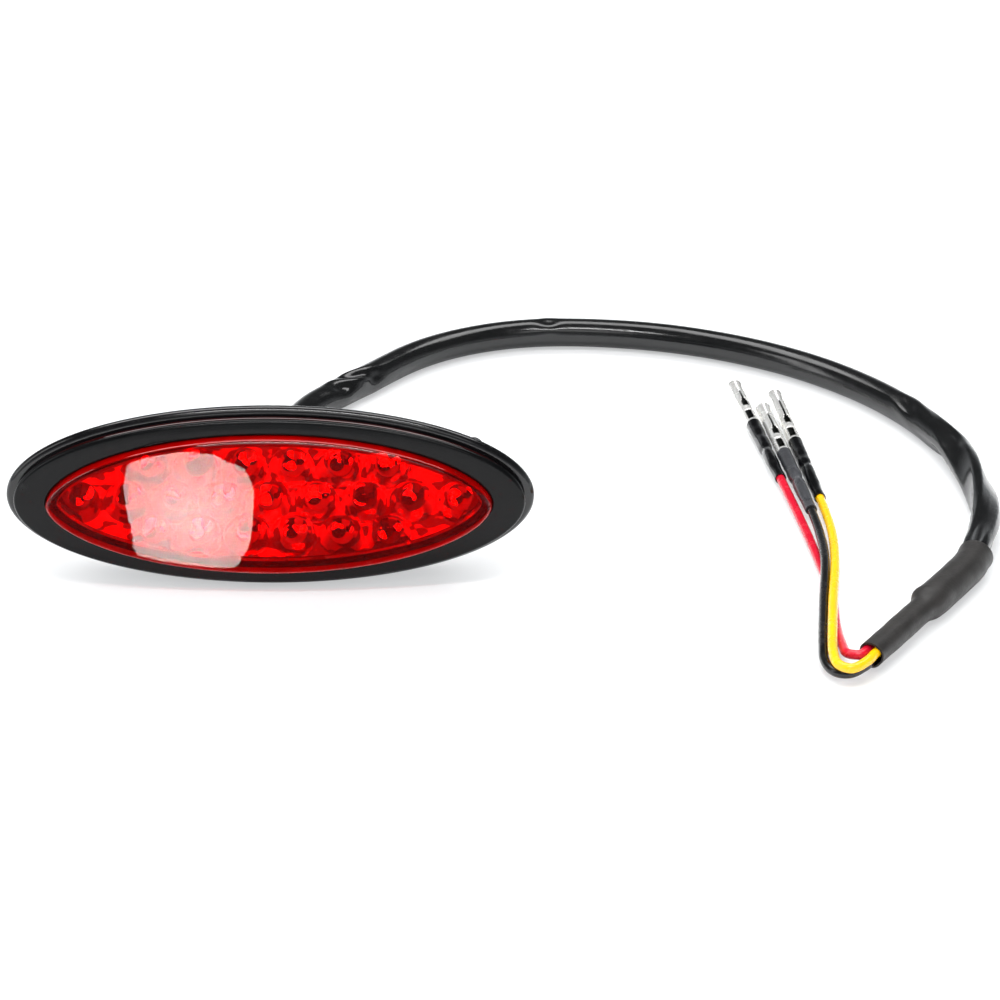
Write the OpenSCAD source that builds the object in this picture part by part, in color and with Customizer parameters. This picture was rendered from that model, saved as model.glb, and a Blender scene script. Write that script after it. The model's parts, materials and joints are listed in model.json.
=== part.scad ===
// LED tail light for a motorcycle: an elliptical lamp with an almond lens, two rear studs and a cable
// that lies on the ground behind it and ends in three leads with bullet sockets.
// The origin is the centre of the rear mounting face. The lens faces -Y, the studs and cable point to +Y,
// and +Z is up, so the lamp stands on the lower edge of its rim.

/* [Lamp outline] */
// Width of the rim, the widest part of the lamp
rim_w = 105; // [104:0.5:106]
// Height of the rim
rim_h = 39; // [38.6:0.2:40]
// Width of the bezel
bezel_w = 101.4; // [101:0.2:102]
// Height of the bezel
bezel_h = 35.8; // [35.4:0.2:36]
// Width of the lens window between its pointed ends
window_w = 88; // [87.4:0.2:88.8]
// Height of the lens window
window_h = 29.4; // [29:0.2:29.8]
// Fullness of the almond curve: 0.5 is an ellipse and 1 is a parabola
almond_power = 0.58; // [0.55:0.01:0.6]

/* [Lamp depth] */
// Depth from the rear mounting face to the front of the bezel
body_depth = 18; // [17.8:0.2:18.4]
// Height that the lens stands proud of the bezel
lens_proud = 2.8; // [2.4:0.2:3.2]
// Thickness of the bezel
bezel_t = 1.2; // [1.1:0.1:1.4]
// Thickness of the lens flange that shows between the bezel and the seal
flange_t = 1; // [0.9:0.1:1.1]
// Thickness of the seal under the lens flange
seal_t = 0.6; // [0.5:0.1:0.7]
// Thickness of the rim of the housing
rim_t = 2; // [1.9:0.1:2.2]
// Thickness of the rubber mounting gasket
gasket_t = 2; // [1.6:0.2:2.4]
// Wall thickness of the housing and the lens
wall = 2; // [1.8:0.1:2.1]

/* [Lamps and board] */
// Distance between neighbouring LEDs in a row
led_pitch = 9.4; // [9.2:0.1:9.5]
// Distance between the rows of LEDs
led_row_gap = 7.4; // [7.2:0.1:7.6]
// Diameter of one LED
led_d = 5; // [4:0.5:5]
// Thickness of the circuit board
board_t = 1.6; // [1.2:0.2:1.6]

/* [Mounting] */
// Distance between the two mounting studs
stud_spacing = 80; // [76:1:80]
// Diameter of a mounting stud
stud_d = 5; // [4.8:0.1:5]
// Length of a stud behind the mounting face
stud_reach = 9; // [8:0.5:14]

/* [Cable] */
// Outer diameter of the cable sleeve
sleeve_d = 6; // [5.9:0.1:6.2]
// Outer diameter of one wire
wire_d = 1.9; // [1.7:0.05:1.9]
// Distance behind the mounting face at which the cable turns on the ground
first_bend_y = 49.3; // [49.3:0.5:53.3]
// Radius of the cable's first bend on the ground
first_bend_r = 30; // [28:1:32]
// Length of the straight between the first and the second bend
link_length = 26; // [24:0.5:28]
// Radius of the cable's second bend
second_bend_r = 48; // [46:1:50]
// Radius of the cable's long sweep
sweep_r = 87; // [84:1:90]
// Angle of the cable's long sweep
sweep_angle = 110; // [108:1:112]

/* [Hidden] */
$fn = 64;
eps = 0.5;

// Planes along Y, from the front of the lens to the rear mounting face at Y = 0
bezel_front = -body_depth;
lens_front = bezel_front - lens_proud;
bezel_back = bezel_front + bezel_t;
flange_back = bezel_back + flange_t;
rim_front = flange_back + seal_t;
rim_back = rim_front + rim_t;
floor_t = 2.5;
floor_front = -gasket_t - floor_t;
board_back = floor_front - 3.6;
board_front = board_back - board_t;
reflector_back = board_front - 1.1;
reflector_front = lens_front + 3.5;
ground = -rim_h / 2;

// ---- Outlines of the lamp ----
outline_points = 96;
tip_stretch = 1.2;

// Almond with half width a and half height b; a power of 0.5 gives an ellipse
function almond(a, b, power) = [for (i = [0 : outline_points - 1])
    let (t = 360 * i / outline_points, s = sin(t))
    [a * cos(t), b * sign(s) * pow(abs(s), 2 * power)]];

module oval(w, h) polygon(almond(w / 2, h / 2, 0.5));

module window(inset = 0)
    polygon(almond(window_w / 2 - inset * tip_stretch, window_h / 2 - inset, almond_power));

// Flat outline raised along Y from a front plane to a back plane
module plate(front, back)
    translate([0, back, 0]) rotate([90, 0, 0]) linear_extrude(back - front) children();

// Round bar or hole along Y
module rod(d, front, back, x = 0, z = 0)
    translate([x, back, z]) rotate([90, 0, 0]) cylinder(h = back - front, d = d);

// Oval plate whose front edge steps back, with the rounding at its rim
module rounded_oval(w, h, front, back, rounding) {
    steps = 3;
    for (i = [0 : steps - 1]) {
        inset = rounding * (1 - sin(90 * (i + 0.5) / steps));
        depth = rounding * (1 - cos(90 * i / steps));
        plate(front + depth, back) oval(w - 2 * inset, h - 2 * inset);
    }
}

// Bowl behind the rim; its outside tapers to the rear, and an inset gives its inside
bowl_w = [rim_w - 14, rim_w - 16];
bowl_h = [rim_h - 5, rim_h - 13];
module bowl(inset, front, back) hull() {
    plate(front, front + eps) oval(bowl_w[0] - 2 * inset, bowl_h[0] - 2 * inset);
    plate(back - eps, back) oval(bowl_w[1] - 2 * inset, bowl_h[1] - 2 * inset);
}

// ---- Lamp shells ----
bezel_screw_x = bezel_w / 2 - 3.1;
bezel_screw_d = 2.2;
bezel_screw_head_d = 3.6;
bezel_screw_head_t = 1.4;
bezel_boss_d = 3.8;
board_screw_x = 2.5 * led_pitch;
board_screw_d = 2;
board_screw_head_d = 3.2;
board_screw_head_t = 1.2;
board_screw_length = 4;
post_d = 5;
stud_x = stud_spacing / 2;
stud_boss_d = 12;
stud_boss_t = 3;
stud_head_d = 7.6;
stud_head_t = 2.5;
edge_rounding = 1.2;
grommet_neck_d = 9;

module rear_housing() color([0.03, 0.03, 0.035]) difference() {
    union() {
        rounded_oval(rim_w, rim_h, rim_front, rim_back, edge_rounding);
        bowl(0, rim_back - eps, -gasket_t);
    }
    difference() {
        bowl(wall, rim_front - eps, floor_front);
        for (side = [-1, 1]) {
            rod(stud_boss_d, floor_front - stud_boss_t, 0, side * stud_x);
            rod(post_d, board_back, 0, side * board_screw_x);
        }
    }
    for (side = [-1, 1]) {
        rod(bezel_screw_d, rim_front - 1, rim_back + 1, side * bezel_screw_x);
        rod(board_screw_d, board_back - 1, floor_front - 1, side * board_screw_x);
        stud(side);
    }
    rod(grommet_neck_d, floor_front - 1, 0);
}

module mounting_gasket() color([0.07, 0.07, 0.07]) difference() {
    plate(-gasket_t, 0) oval(bowl_w[1] - 1, bowl_h[1] - 1);
    for (side = [-1, 1])
        rod(stud_d, -gasket_t - 1, 1, side * stud_x);
    rod(grommet_neck_d, -gasket_t - 1, 1);
}

module lens_seal() color([0.05, 0.05, 0.05]) difference() {
    plate(flange_back, rim_front) oval(bezel_w - 1.6, bezel_h - 2.4);
    plate(flange_back - 1, rim_front + 1) oval(bowl_w[0] - 2 * wall, bowl_h[0] - 2 * wall);
    for (side = [-1, 1])
        rod(bezel_boss_d, flange_back - 1, rim_front + 1, side * bezel_screw_x);
}

module lens() color([0.85, 0.02, 0.02, 0.8]) difference() {
    union() {
        plate(bezel_back, flange_back) oval(bezel_w - 1.2, bezel_h + 0.4);
        plate(lens_front + 1, bezel_back) window();
        plate(lens_front + 0.4, bezel_back) window(0.5);
        plate(lens_front, bezel_back) window(1.1);
    }
    plate(lens_front + wall, flange_back + 1) window(wall);
    for (side = [-1, 1])
        rod(bezel_boss_d, bezel_back - 1, flange_back + 1, side * bezel_screw_x);
}

module bezel() color([0.1, 0.1, 0.105]) difference() {
    union() {
        rounded_oval(bezel_w, bezel_h, bezel_front, bezel_back, edge_rounding);
        for (side = [-1, 1])
            rod(bezel_boss_d, bezel_back - eps, rim_front, side * bezel_screw_x);
    }
    plate(bezel_front - 1, bezel_back + eps) window(-0.15);
    for (side = [-1, 1])
        rod(bezel_screw_d, bezel_back - 0.2, rim_front + 1, side * bezel_screw_x);
}

// Screw with a round head at the plane `seat`; dir 1 points the shank to -Y and -1 to +Y
module screw(d, head_d, head_t, length, seat, x, dir) {
    tip = seat - dir * length;
    head = seat + dir * head_t;
    rod(d, min(seat, tip), max(seat, tip), x);
    rod(head_d, min(seat, head), max(seat, head), x);
}

module bezel_screws() color([0.55, 0.56, 0.58])
    for (side = [-1, 1])
        screw(bezel_screw_d, bezel_screw_head_d, bezel_screw_head_t, rim_back - bezel_back, rim_back,
            side * bezel_screw_x, 1);

// ---- Studs ----
relief = 0.6;
tip_chamfer = 0.8;

// Stud with its head moulded into the housing and a relief groove where its thread starts
module stud(side) {
    rod(stud_d, floor_front - eps, 0, side * stud_x);
    rod(stud_d - 0.8, -eps, relief + eps, side * stud_x);
    rod(stud_d, relief, stud_reach - tip_chamfer, side * stud_x);
    translate([side * stud_x, stud_reach - tip_chamfer, 0]) rotate([-90, 0, 0])
        cylinder(h = tip_chamfer, d1 = stud_d, d2 = stud_d - 2 * tip_chamfer);
    rod(stud_head_d, floor_front - stud_head_t, floor_front - eps, side * stud_x);
}

module mounting_studs() color([0.08, 0.08, 0.085]) {
    stud(-1);
    stud(1);
}

// ---- Reflector, board and LEDs ----
middle_row = [for (i = [-4 : 4]) [i * led_pitch, 0]];
outer_rows = [for (i = [-2.5 : 2.5], side = [-1, 1]) [i * led_pitch, side * led_row_gap]];
all_leds = concat(middle_row, outer_rows);
cup_d = 9;
cup_depth = 6;
led_clear = 0.3;
led_height = 8.2;
led_rim_d = led_d + 0.8;
spacer_x = 3.5 * led_pitch;
spacer_d = 2.4;
screw_access_d = 3.8;
foot_t = 1.6;
foot_w = bowl_w[0] - 7;
foot_h = bowl_h[0] - 8.4;
board_w = bowl_w[0] - 8;
board_h = bowl_h[0] - 9.8;

module reflector() color([0.8, 0.8, 0.82]) difference() {
    union() {
        plate(reflector_front, reflector_back) window(2.6);
        plate(reflector_back - foot_t, reflector_back) oval(foot_w, foot_h);
        for (side = [-1, 1])
            rod(spacer_d, reflector_back - eps, board_front, side * spacer_x);
    }
    for (p = all_leds) {
        rod(led_d + led_clear, reflector_front - 1, reflector_back + 1, p[0], p[1]);
        translate([p[0], reflector_front, p[1]]) rotate([-90, 0, 0])
            cylinder(h = cup_depth, d1 = cup_d, d2 = led_d + led_clear);
    }
    for (side = [-1, 1])
        rod(screw_access_d, reflector_back - 0.5, reflector_back + 1, side * board_screw_x);
}

module circuit_board() color([0.75, 0.78, 0.72]) difference() {
    plate(board_front, board_back) oval(board_w, board_h);
    for (side = [-1, 1])
        rod(board_screw_d + 0.2, board_front - 1, board_back + 1, side * board_screw_x);
    for (c = [0 : 2])
        rod(pin_d, board_front - 1, board_back + 1, -bundle[c][0], bundle[c][1]);
}

module board_screws() color([0.6, 0.6, 0.6])
    for (side = [-1, 1])
        screw(board_screw_d, board_screw_head_d, board_screw_head_t, board_screw_length, board_front,
            side * board_screw_x, -1);

module led(p) {
    tip = board_front - led_height;
    rod(led_rim_d, board_front - 1, board_front, p[0], p[1]);
    rod(led_d, tip + led_d / 2, board_front - eps, p[0], p[1]);
    translate([p[0], tip + led_d / 2, p[1]]) sphere(d = led_d);
}

// The tail function lights every second LED of the middle row, and the stop function the rest
module tail_leds() color([0.9, 0.25, 0.15])
    for (i = [0 : 2 : 8])
        led(middle_row[i]);

module stop_leds() color([0.95, 0.35, 0.2]) {
    for (i = [1 : 2 : 7])
        led(middle_row[i]);
    for (p = outer_rows)
        led(p);
}

// Places, diameters and lengths of the parts on the back of the board
resistor_x = [-17, -12, 12, 17];
resistor_d = 2.4;
resistor_length = 6.3;
diode_x = [-30, 30];
diode_d = 2.6;
diode_length = 5.2;
regulator_d = 4.8;
regulator_height = 3.2;
regulator_z = 8.4;
regulator_flat_z = 9.8;

// Part with axial legs on the back of the board, lying along Z
leg_d = 0.6;
leg_span = 9;
body_gap = 0.3;
module axial_part(x, body_d, body_length) {
    centre = board_back + body_gap + body_d / 2;
    translate([x, centre, -body_length / 2]) cylinder(h = body_length, d = body_d);
    translate([x, centre, -leg_span / 2]) cylinder(h = leg_span, d = leg_d);
    for (side = [-1, 1])
        rod(leg_d, board_back, centre, x, side * (leg_span - leg_d) / 2);
}

module resistors() color([0.75, 0.62, 0.42])
    for (x = resistor_x)
        axial_part(x, resistor_d, resistor_length);

module diodes() color([0.08, 0.08, 0.08])
    for (x = diode_x)
        axial_part(x, diode_d, diode_length);

module voltage_regulator() color([0.06, 0.06, 0.07]) difference() {
    rod(regulator_d, board_back, board_back + regulator_height, 0, regulator_z);
    translate([-regulator_d, board_back - 1, regulator_flat_z])
        cube([2 * regulator_d, regulator_height + 2, regulator_d]);
}

// ---- Wires inside the lamp, the grommet and the tie ----
// Places of the red, black and yellow wires in the bundle, to its left and up
bundle = [[-1.05, 0.68], [0, -1.25], [0.9, 0.7]];
pin_d = 0.9;
swing_y = 4;
swing_gap = 0.8;
sleeve_bore = 4.6;
entry_front = -7.6;
tie_front = -7.3;
tie_back = -5.8;
tie_d = sleeve_d + 2;
tie_head = [3.2, 3];
inner_end = swing_y - swing_gap / 2;
tail_end = 8.5;
tail_d = 10.6;
grommet_flange_d = 11;
grommet_flange_t = 1;

module inner_lead(i) {
    at = [-bundle[i][0], bundle[i][1]];
    rod(wire_d, board_back, inner_end, at[0], at[1]);
    rod(pin_d, board_front + 0.2, board_back + eps, at[0], at[1]);
}

module inner_lead_red() color([0.8, 0.08, 0.12]) inner_lead(0);
module inner_lead_black() color([0.05, 0.05, 0.05]) inner_lead(1);
module inner_lead_yellow() color([1, 0.78, 0.05]) inner_lead(2);

module sleeve_entry() color([0.08, 0.08, 0.085]) difference() {
    rod(sleeve_d, entry_front, inner_end);
    rod(sleeve_bore, entry_front - 1, inner_end + 1);
}

module cable_grommet() color([0.06, 0.06, 0.06]) difference() {
    union() {
        rod(grommet_flange_d, floor_front - grommet_flange_t, floor_front);
        rod(grommet_neck_d, floor_front - eps, eps);
        rod(tail_d, 0, tail_end);
    }
    rod(sleeve_d, floor_front - 2, swing_y);
    translate([0, inner_end - 0.2, 0]) rotate([-90, 0, 0])
        cylinder(h = tail_end - inner_end + 0.3, d1 = sleeve_d + 0.3, d2 = sleeve_d + 2.4);
}

module cable_tie() color([0.9, 0.9, 0.88]) difference() {
    union() {
        rod(tie_d, tie_front, tie_back);
        translate([-tie_head[0] / 2, tie_front - 0.1, -sleeve_d / 2 - tie_head[1] + 0.2])
            cube([tie_head[0], tie_back - tie_front + 0.2, tie_head[1]]);
    }
    rod(sleeve_d, tie_front - 1, tie_back + 1);
}

// ---- Cable that drops to the ground and sweeps round to the right ----
// A run is a list of steps. Each step is [straight length, bend radius, bend angle, roll]: a roll of 0
// bends to the right, 90 bends down and -90 bends up. Its sections are [place, forward, up], one at each
// end of a straight and at most bend_step degrees apart in a bend.
bend_step = 5;
function sections(steps, place, forward, up, i = 0) = i == len(steps) ? [[place, forward, up]] :
    let (s = steps[i],
        r = s[1],
        start = place + s[0] * forward,
        inward = cos(s[3]) * cross(forward, up) - sin(s[3]) * up,
        lean = up * inward,
        count = max(1, ceil(s[2] / bend_step)),
        turned = [for (k = [1 : count])
            let (t = s[2] * k / count)
            [start + r * (1 - cos(t)) * inward + r * sin(t) * forward,
                cos(t) * forward + sin(t) * inward,
                up - lean * inward + lean * (cos(t) * inward - sin(t) * forward)]],
        last = turned[count - 1],
        straight = s[0] > 0 ? [[place, forward, up]] : [],
        bend = s[2] > 0 ? concat([[start, forward, up]], [for (k = [0 : 1 : count - 2]) turned[k]]) : [])
    concat(straight, bend, sections(steps, last[0], last[1], last[2], i + 1));

// Tube along a list of sections: one wall for a solid wire, or an outer and an inner wall for a sleeve.
// The middle of the tube is `offset` to the left and up from the middle of the run.
module tube(sections, diameters, sides, offset = [0, 0]) {
    layers = len(diameters);
    last = len(sections) - 1;
    function at(i, layer, k) = (i * layers + layer) * sides + k % sides;
    points = [for (s = sections, d = diameters, k = [0 : sides - 1])
        let (left = cross(s[2], s[1]), t = 360 * k / sides)
        s[0] + (offset[0] + d / 2 * cos(t)) * left + (offset[1] + d / 2 * sin(t)) * s[2]];
    outer = [for (i = [0 : last - 1], k = [0 : sides - 1])
        each [[at(i, 0, k), at(i + 1, 0, k + 1), at(i, 0, k + 1)],
            [at(i, 0, k), at(i + 1, 0, k), at(i + 1, 0, k + 1)]]];
    inner = [for (i = [0 : last - 1], k = [0 : sides - 1])
        each [[at(i, 1, k), at(i, 1, k + 1), at(i + 1, 1, k + 1)],
            [at(i, 1, k), at(i + 1, 1, k + 1), at(i + 1, 1, k)]]];
    solid_ends = [[for (k = [0 : sides - 1]) at(0, 0, k)],
        [for (k = [sides - 1 : -1 : 0]) at(last, 0, k)]];
    ring_ends = [for (k = [0 : sides - 1])
        each [[at(0, 0, k), at(0, 0, k + 1), at(0, 1, k + 1), at(0, 1, k)],
            [at(last, 0, k + 1), at(last, 0, k), at(last, 1, k), at(last, 1, k + 1)]]];
    polyhedron(points, layers == 1 ? concat(outer, solid_ends) : concat(outer, inner, ring_ends),
        convexity = 8);
}

shrink_wall = 0.4;
grip_bore = sleeve_d + 0.2;
grip_d = grip_bore + 2 * shrink_wall;
bundle_d = 4.4;
cable_rest = grip_d / 2;
drop = -ground - cable_rest;
drop_angle = 48;
drop_r = drop / (2 * (1 - cos(drop_angle)));
drop_length = 2 * drop_r * sin(drop_angle);
cable_start = swing_y + swing_gap;
drop_start = 7.7;
first_bend_angle = 37;
second_bend_angle = 90 - first_bend_angle;
last_bend_r = 40;
last_bend_angle = 13;
sleeve_tail = 14;
shrink_tail = 39.5;
shrink_step = 16;

ground_run = [
    [drop_start - cable_start, drop_r, drop_angle, 90],
    [0, drop_r, drop_angle, -90],
    [first_bend_y - drop_start - drop_length, first_bend_r, first_bend_angle, 0],
    [link_length, second_bend_r, second_bend_angle, 0],
    [0, sweep_r, sweep_angle, 0],
    [0, last_bend_r, last_bend_angle, 0]];
function cable_sections(tail) =
    sections(concat(ground_run, [[tail, 0, 0, 0]]), [0, cable_start, 0], [0, 1, 0], [0, 0, 1]);

module cable_sleeve() color([0.09, 0.09, 0.095])
    tube(cable_sections(sleeve_tail), [sleeve_d, sleeve_bore], 18);

module core(i) tube(cable_sections(shrink_tail - 0.4), [wire_d], 10, bundle[i]);

module core_red() color([0.8, 0.08, 0.12]) core(0);
module core_black() color([0.05, 0.05, 0.05]) core(1);
module core_yellow() color([1, 0.78, 0.05]) core(2);

// Point and heading at the end of a right-hand bend that starts at p with heading h
function bend_end(p, h, r, a) = p + r * [sin(h) - sin(h - a), cos(h - a) - cos(h)];
link_start = bend_end([0, first_bend_y], 90, first_bend_r, first_bend_angle);
link_end = link_start + link_length * [cos(second_bend_angle), sin(second_bend_angle)];
sweep_start = bend_end(link_end, second_bend_angle, second_bend_r, second_bend_angle);
sweep_end = bend_end(sweep_start, 0, sweep_r, sweep_angle);
tail_heading = -sweep_angle - last_bend_angle;
tail_start = bend_end(sweep_end, -sweep_angle, last_bend_r, last_bend_angle);
mouth = tail_start + shrink_tail * [cos(tail_heading), sin(tail_heading)];
cable_z = ground + cable_rest;

// Heat-shrink tube: wide where it grips the sleeve, narrow where it grips the three wires
module heat_shrink() color([0.2, 0.19, 0.18]) {
    translate([sweep_end[0], sweep_end[1], cable_z]) rotate([0, 0, -sweep_angle])
        translate([0, -last_bend_r, 0]) rotate([0, 0, 90 - last_bend_angle])
            rotate_extrude(angle = last_bend_angle, $fn = 96) translate([last_bend_r, 0]) difference() {
                circle(d = grip_d);
                circle(d = grip_bore);
            }
    translate([tail_start[0], tail_start[1], cable_z]) rotate([0, 0, tail_heading]) rotate([0, 90, 0])
        difference() {
            union() {
                cylinder(h = shrink_step, d = grip_d);
                cylinder(h = shrink_tail, d = bundle_d + 2 * shrink_wall);
            }
            translate([0, 0, -1]) cylinder(h = shrink_step, d = grip_bore);
            cylinder(h = shrink_tail + 1, d = bundle_d);
        }
}

// ---- Leads, boots and sockets ----
// Each lead is a smooth curve through places given from the mouth of the heat-shrink tube, with the height
// above the ground. The last place is the foot of its boot, and `tip` is the open end of its socket.
lead_start = 0.8;
rest_z = [1.6, 2.5, 1.6];
lead_places = [
    [[-2.4, -1.0, 4.1], [-4.5, 0.2, 3.8], [-4.9, 4, 3.0], [-4.9, 16, 1], [-4.5, 31, 1], [-5.4, 41.5, 1],
        [-6.7, 54, 1.1], [-8.2, 66, 1.3], [-10.35, 81.6, rest_z[0]]],
    [[-1.5, -2.2, 2.2], [-4.3, -4.2, 1.9], [-7.1, -3.4, 1.8], [-8.6, 0.2, 1.9], [-8.5, 6, 2.3],
        [-6.8, 22.7, 2.5], [-4.8, 41, 2.9], [-4.7, 54, 2.6], [-5.4, 64.5, rest_z[1]]],
    [[-1.2, -3.6, 4.2], [-4.2, -6.2, 4.1], [-6.7, -4.4, 4.0], [-7.2, 0, 3.9], [-6.8, 6, 3.8],
        [-5.0, 22.7, 3.4], [-2.8, 41, 2.9], [-2.1, 56, 2.4], [-2.8, 72, rest_z[2]]]];
tips = [[-16.85, 130.4], [-11.5, 115.8], [-8.1, 125.1]];
boot_length = 28;
boot_d = 2.5;
boot_bulge_d = 3;
boot_bulge = [6, 18];
boot_mouth_d = 2.9;
boot_mouth = 20;
crimp_start = 9;
crimp_d = 2.2;
socket_d = 2.9;
socket_bore = 2.4;
socket_depth = 14;
socket_slot_w = 0.6;
socket_slot_start = 3;

function at_mouth(p) = [mouth[0] + p[0], mouth[1] + p[1], ground + p[2]];
forward = [cos(tail_heading), sin(tail_heading)];
leftward = [-sin(tail_heading), cos(tail_heading)];
function wire_mouth(i, along) = at_mouth([
    along * forward[0] + bundle[i][0] * leftward[0],
    along * forward[1] + bundle[i][0] * leftward[1],
    cable_rest + bundle[i][1]]);
function foot(i) = at_mouth(lead_places[i][len(lead_places[i]) - 1]);
function tip(i) = at_mouth([tips[i][0], tips[i][1], rest_z[i]]);
function unit(v) = v / norm(v);

// Smooth curve through points p[1] to p[n - 2]; the first and last only set the end directions
function spline(p, spans) = [for (k = [1 : len(p) - 3], j = [0 : spans - 1])
    let (t = j / spans, a = p[k - 1], b = p[k], c = p[k + 1], d = p[k + 2])
    0.5 * (2 * b + (c - a) * t + (2 * a - 5 * b + 4 * c - d) * t ^ 2 + (3 * b - 3 * c + d - a) * t ^ 3)];

// Sections along a list of points that never runs straight up
function sections_of(path) = [for (i = [0 : len(path) - 1])
    let (f = unit(path[min(i + 1, len(path) - 1)] - path[max(i - 1, 0)]),
        left = unit(cross([0, 0, 1], f)))
    [path[i], f, cross(f, left)]];

// Frame at the foot of a boot, with +Z towards the tip of its socket
module from_foot(i) {
    v = tip(i) - foot(i);
    translate(foot(i)) rotate([0, 0, atan2(v[1], v[0])]) rotate([0, 90, 0]) children();
}

module lead(i) {
    start = wire_mouth(i, lead_start);
    into_boot = foot(i) + 3 * unit(tip(i) - foot(i));
    places = [for (k = [0 : len(lead_places[i]) - 1]) at_mouth(lead_places[i][k])];
    path = concat(spline(concat([wire_mouth(i, -3), start], places, [into_boot]), 5), [foot(i)]);
    tube(sections_of(path), [wire_d], 10);
    from_foot(i) cylinder(h = crimp_start, d = wire_d);
}

module boot(i) from_foot(i) difference() {
    union() {
        cylinder(h = boot_length, d = boot_d);
        translate([0, 0, boot_bulge[0]]) cylinder(h = boot_bulge[1] - boot_bulge[0], d = boot_bulge_d);
        translate([0, 0, boot_mouth]) cylinder(h = boot_length - boot_mouth, d = boot_mouth_d);
    }
    translate([0, 0, -1]) cylinder(h = crimp_start + 2, d = wire_d);
    translate([0, 0, crimp_start]) cylinder(h = boot_length, d = crimp_d);
}

module socket(i) {
    length = norm(tip(i) - foot(i));
    from_foot(i) difference() {
        union() {
            translate([0, 0, crimp_start]) cylinder(h = boot_length - crimp_start + 1, d = crimp_d);
            translate([0, 0, boot_length]) cylinder(h = length - boot_length, d = socket_d);
        }
        translate([0, 0, length - socket_depth]) cylinder(h = socket_depth + 1, d = socket_bore);
        translate([-socket_d, -socket_slot_w / 2, length - socket_depth + socket_slot_start])
            cube([socket_d, socket_slot_w, socket_depth]);
    }
}

module lead_red() color([0.8, 0.08, 0.12]) lead(0);
module lead_black() color([0.05, 0.05, 0.05]) lead(1);
module lead_yellow() color([1, 0.78, 0.05]) lead(2);
module boot_red() color([0.04, 0.04, 0.04]) boot(0);
module boot_black() color([0.1, 0.1, 0.11]) boot(1);
module boot_yellow() color([0.04, 0.04, 0.04]) boot(2);
module socket_red() color([0.85, 0.82, 0.75]) socket(0);
module socket_black() color([0.85, 0.82, 0.75]) socket(1);
module socket_yellow() color([0.85, 0.82, 0.75]) socket(2);

rear_housing();
mounting_gasket();
mounting_studs();
lens_seal();
lens();
bezel();
bezel_screws();
reflector();
circuit_board();
board_screws();
tail_leds();
stop_leds();
resistors();
diodes();
voltage_regulator();
inner_lead_red();
inner_lead_black();
inner_lead_yellow();
sleeve_entry();
cable_grommet();
cable_tie();
cable_sleeve();
core_red();
core_black();
core_yellow();
heat_shrink();
lead_red();
lead_black();
lead_yellow();
boot_red();
boot_black();
boot_yellow();
socket_red();
socket_black();
socket_yellow();
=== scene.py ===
"""Looks for the tail light: fine meshes, materials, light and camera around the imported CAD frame."""

import json
from math import ceil, copysign, cos, exp, hypot, pi, radians, sin

import bmesh
import bpy
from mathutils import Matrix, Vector, noise


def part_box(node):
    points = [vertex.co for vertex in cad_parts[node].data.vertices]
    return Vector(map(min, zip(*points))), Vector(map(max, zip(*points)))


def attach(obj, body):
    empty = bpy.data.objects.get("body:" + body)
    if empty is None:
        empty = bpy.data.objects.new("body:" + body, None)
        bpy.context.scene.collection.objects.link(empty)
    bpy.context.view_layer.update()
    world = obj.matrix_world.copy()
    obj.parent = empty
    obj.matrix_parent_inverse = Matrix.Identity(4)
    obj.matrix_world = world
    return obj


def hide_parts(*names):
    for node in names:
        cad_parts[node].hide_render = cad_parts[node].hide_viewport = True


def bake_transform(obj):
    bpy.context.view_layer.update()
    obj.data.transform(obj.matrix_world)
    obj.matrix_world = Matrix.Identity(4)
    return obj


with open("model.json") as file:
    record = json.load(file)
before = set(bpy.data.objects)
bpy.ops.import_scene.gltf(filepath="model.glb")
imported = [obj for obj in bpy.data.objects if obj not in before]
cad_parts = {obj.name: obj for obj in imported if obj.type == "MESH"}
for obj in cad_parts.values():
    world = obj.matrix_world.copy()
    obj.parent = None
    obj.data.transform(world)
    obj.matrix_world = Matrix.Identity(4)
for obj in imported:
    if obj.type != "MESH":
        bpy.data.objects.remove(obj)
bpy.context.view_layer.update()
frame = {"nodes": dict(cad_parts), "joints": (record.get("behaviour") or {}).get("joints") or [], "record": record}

MM = 0.001
X = Vector((1, 0, 0))
Y = Vector((0, 1, 0))
Z = Vector((0, 0, 1))
TAU = 2 * pi


def box(node):
    """Lowest and highest corner of a CAD node, in mm."""
    low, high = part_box(node)
    return low / MM, high / MM


def face_box(node):
    """Corners of a CAD node in mm, and its width and height as (w, h)."""
    low, high = box(node)
    return low, high, (high.x - low.x, high.z - low.z)


def joint_place(name):
    """Point on a joint's axis, in mm."""
    joint = next(j for j in frame["joints"] if j["name"] == name)
    return Vector(joint["pos_m"]) / MM


def mount(name):
    """Place in mm and axis of a mount in the record."""
    found = next(m for m in frame["record"]["mounts"] if m["name"] == name)
    return Vector(found["pos_m"]) / MM, Vector(found["axis"]).normalized()


# ---- Sizes, in mm, from the CAD frame ----
RIM_LOW, RIM_HIGH, RIM = face_box("rear_housing")
RIM_T, WALL = 2.0, 2.0
RIM_FRONT, RIM_BACK, SHELL_BACK = RIM_LOW.y, RIM_LOW.y + RIM_T, RIM_HIGH.y
GROUND = RIM_LOW.z
BEZEL_LOW, _, BEZEL = face_box("bezel")
BEZEL_FRONT = BEZEL_LOW.y
LENS_LOW, LENS_HIGH, FLANGE = face_box("lens")
LENS_FRONT, FLANGE_BACK = LENS_LOW.y, LENS_HIGH.y
GASKET_LOW, GASKET_HIGH, GASKET = face_box("mounting_gasket")
LED_TIP, BOARD_FRONT = box("stop_leds")[0].y, box("circuit_board")[0].y
REFLECTOR_FRONT, REFLECTOR_BACK = box("reflector")[0].y, BOARD_FRONT - 1.1
STUD_X = mount("stud_right")[0].x
STUD_R = 2.5
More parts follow.
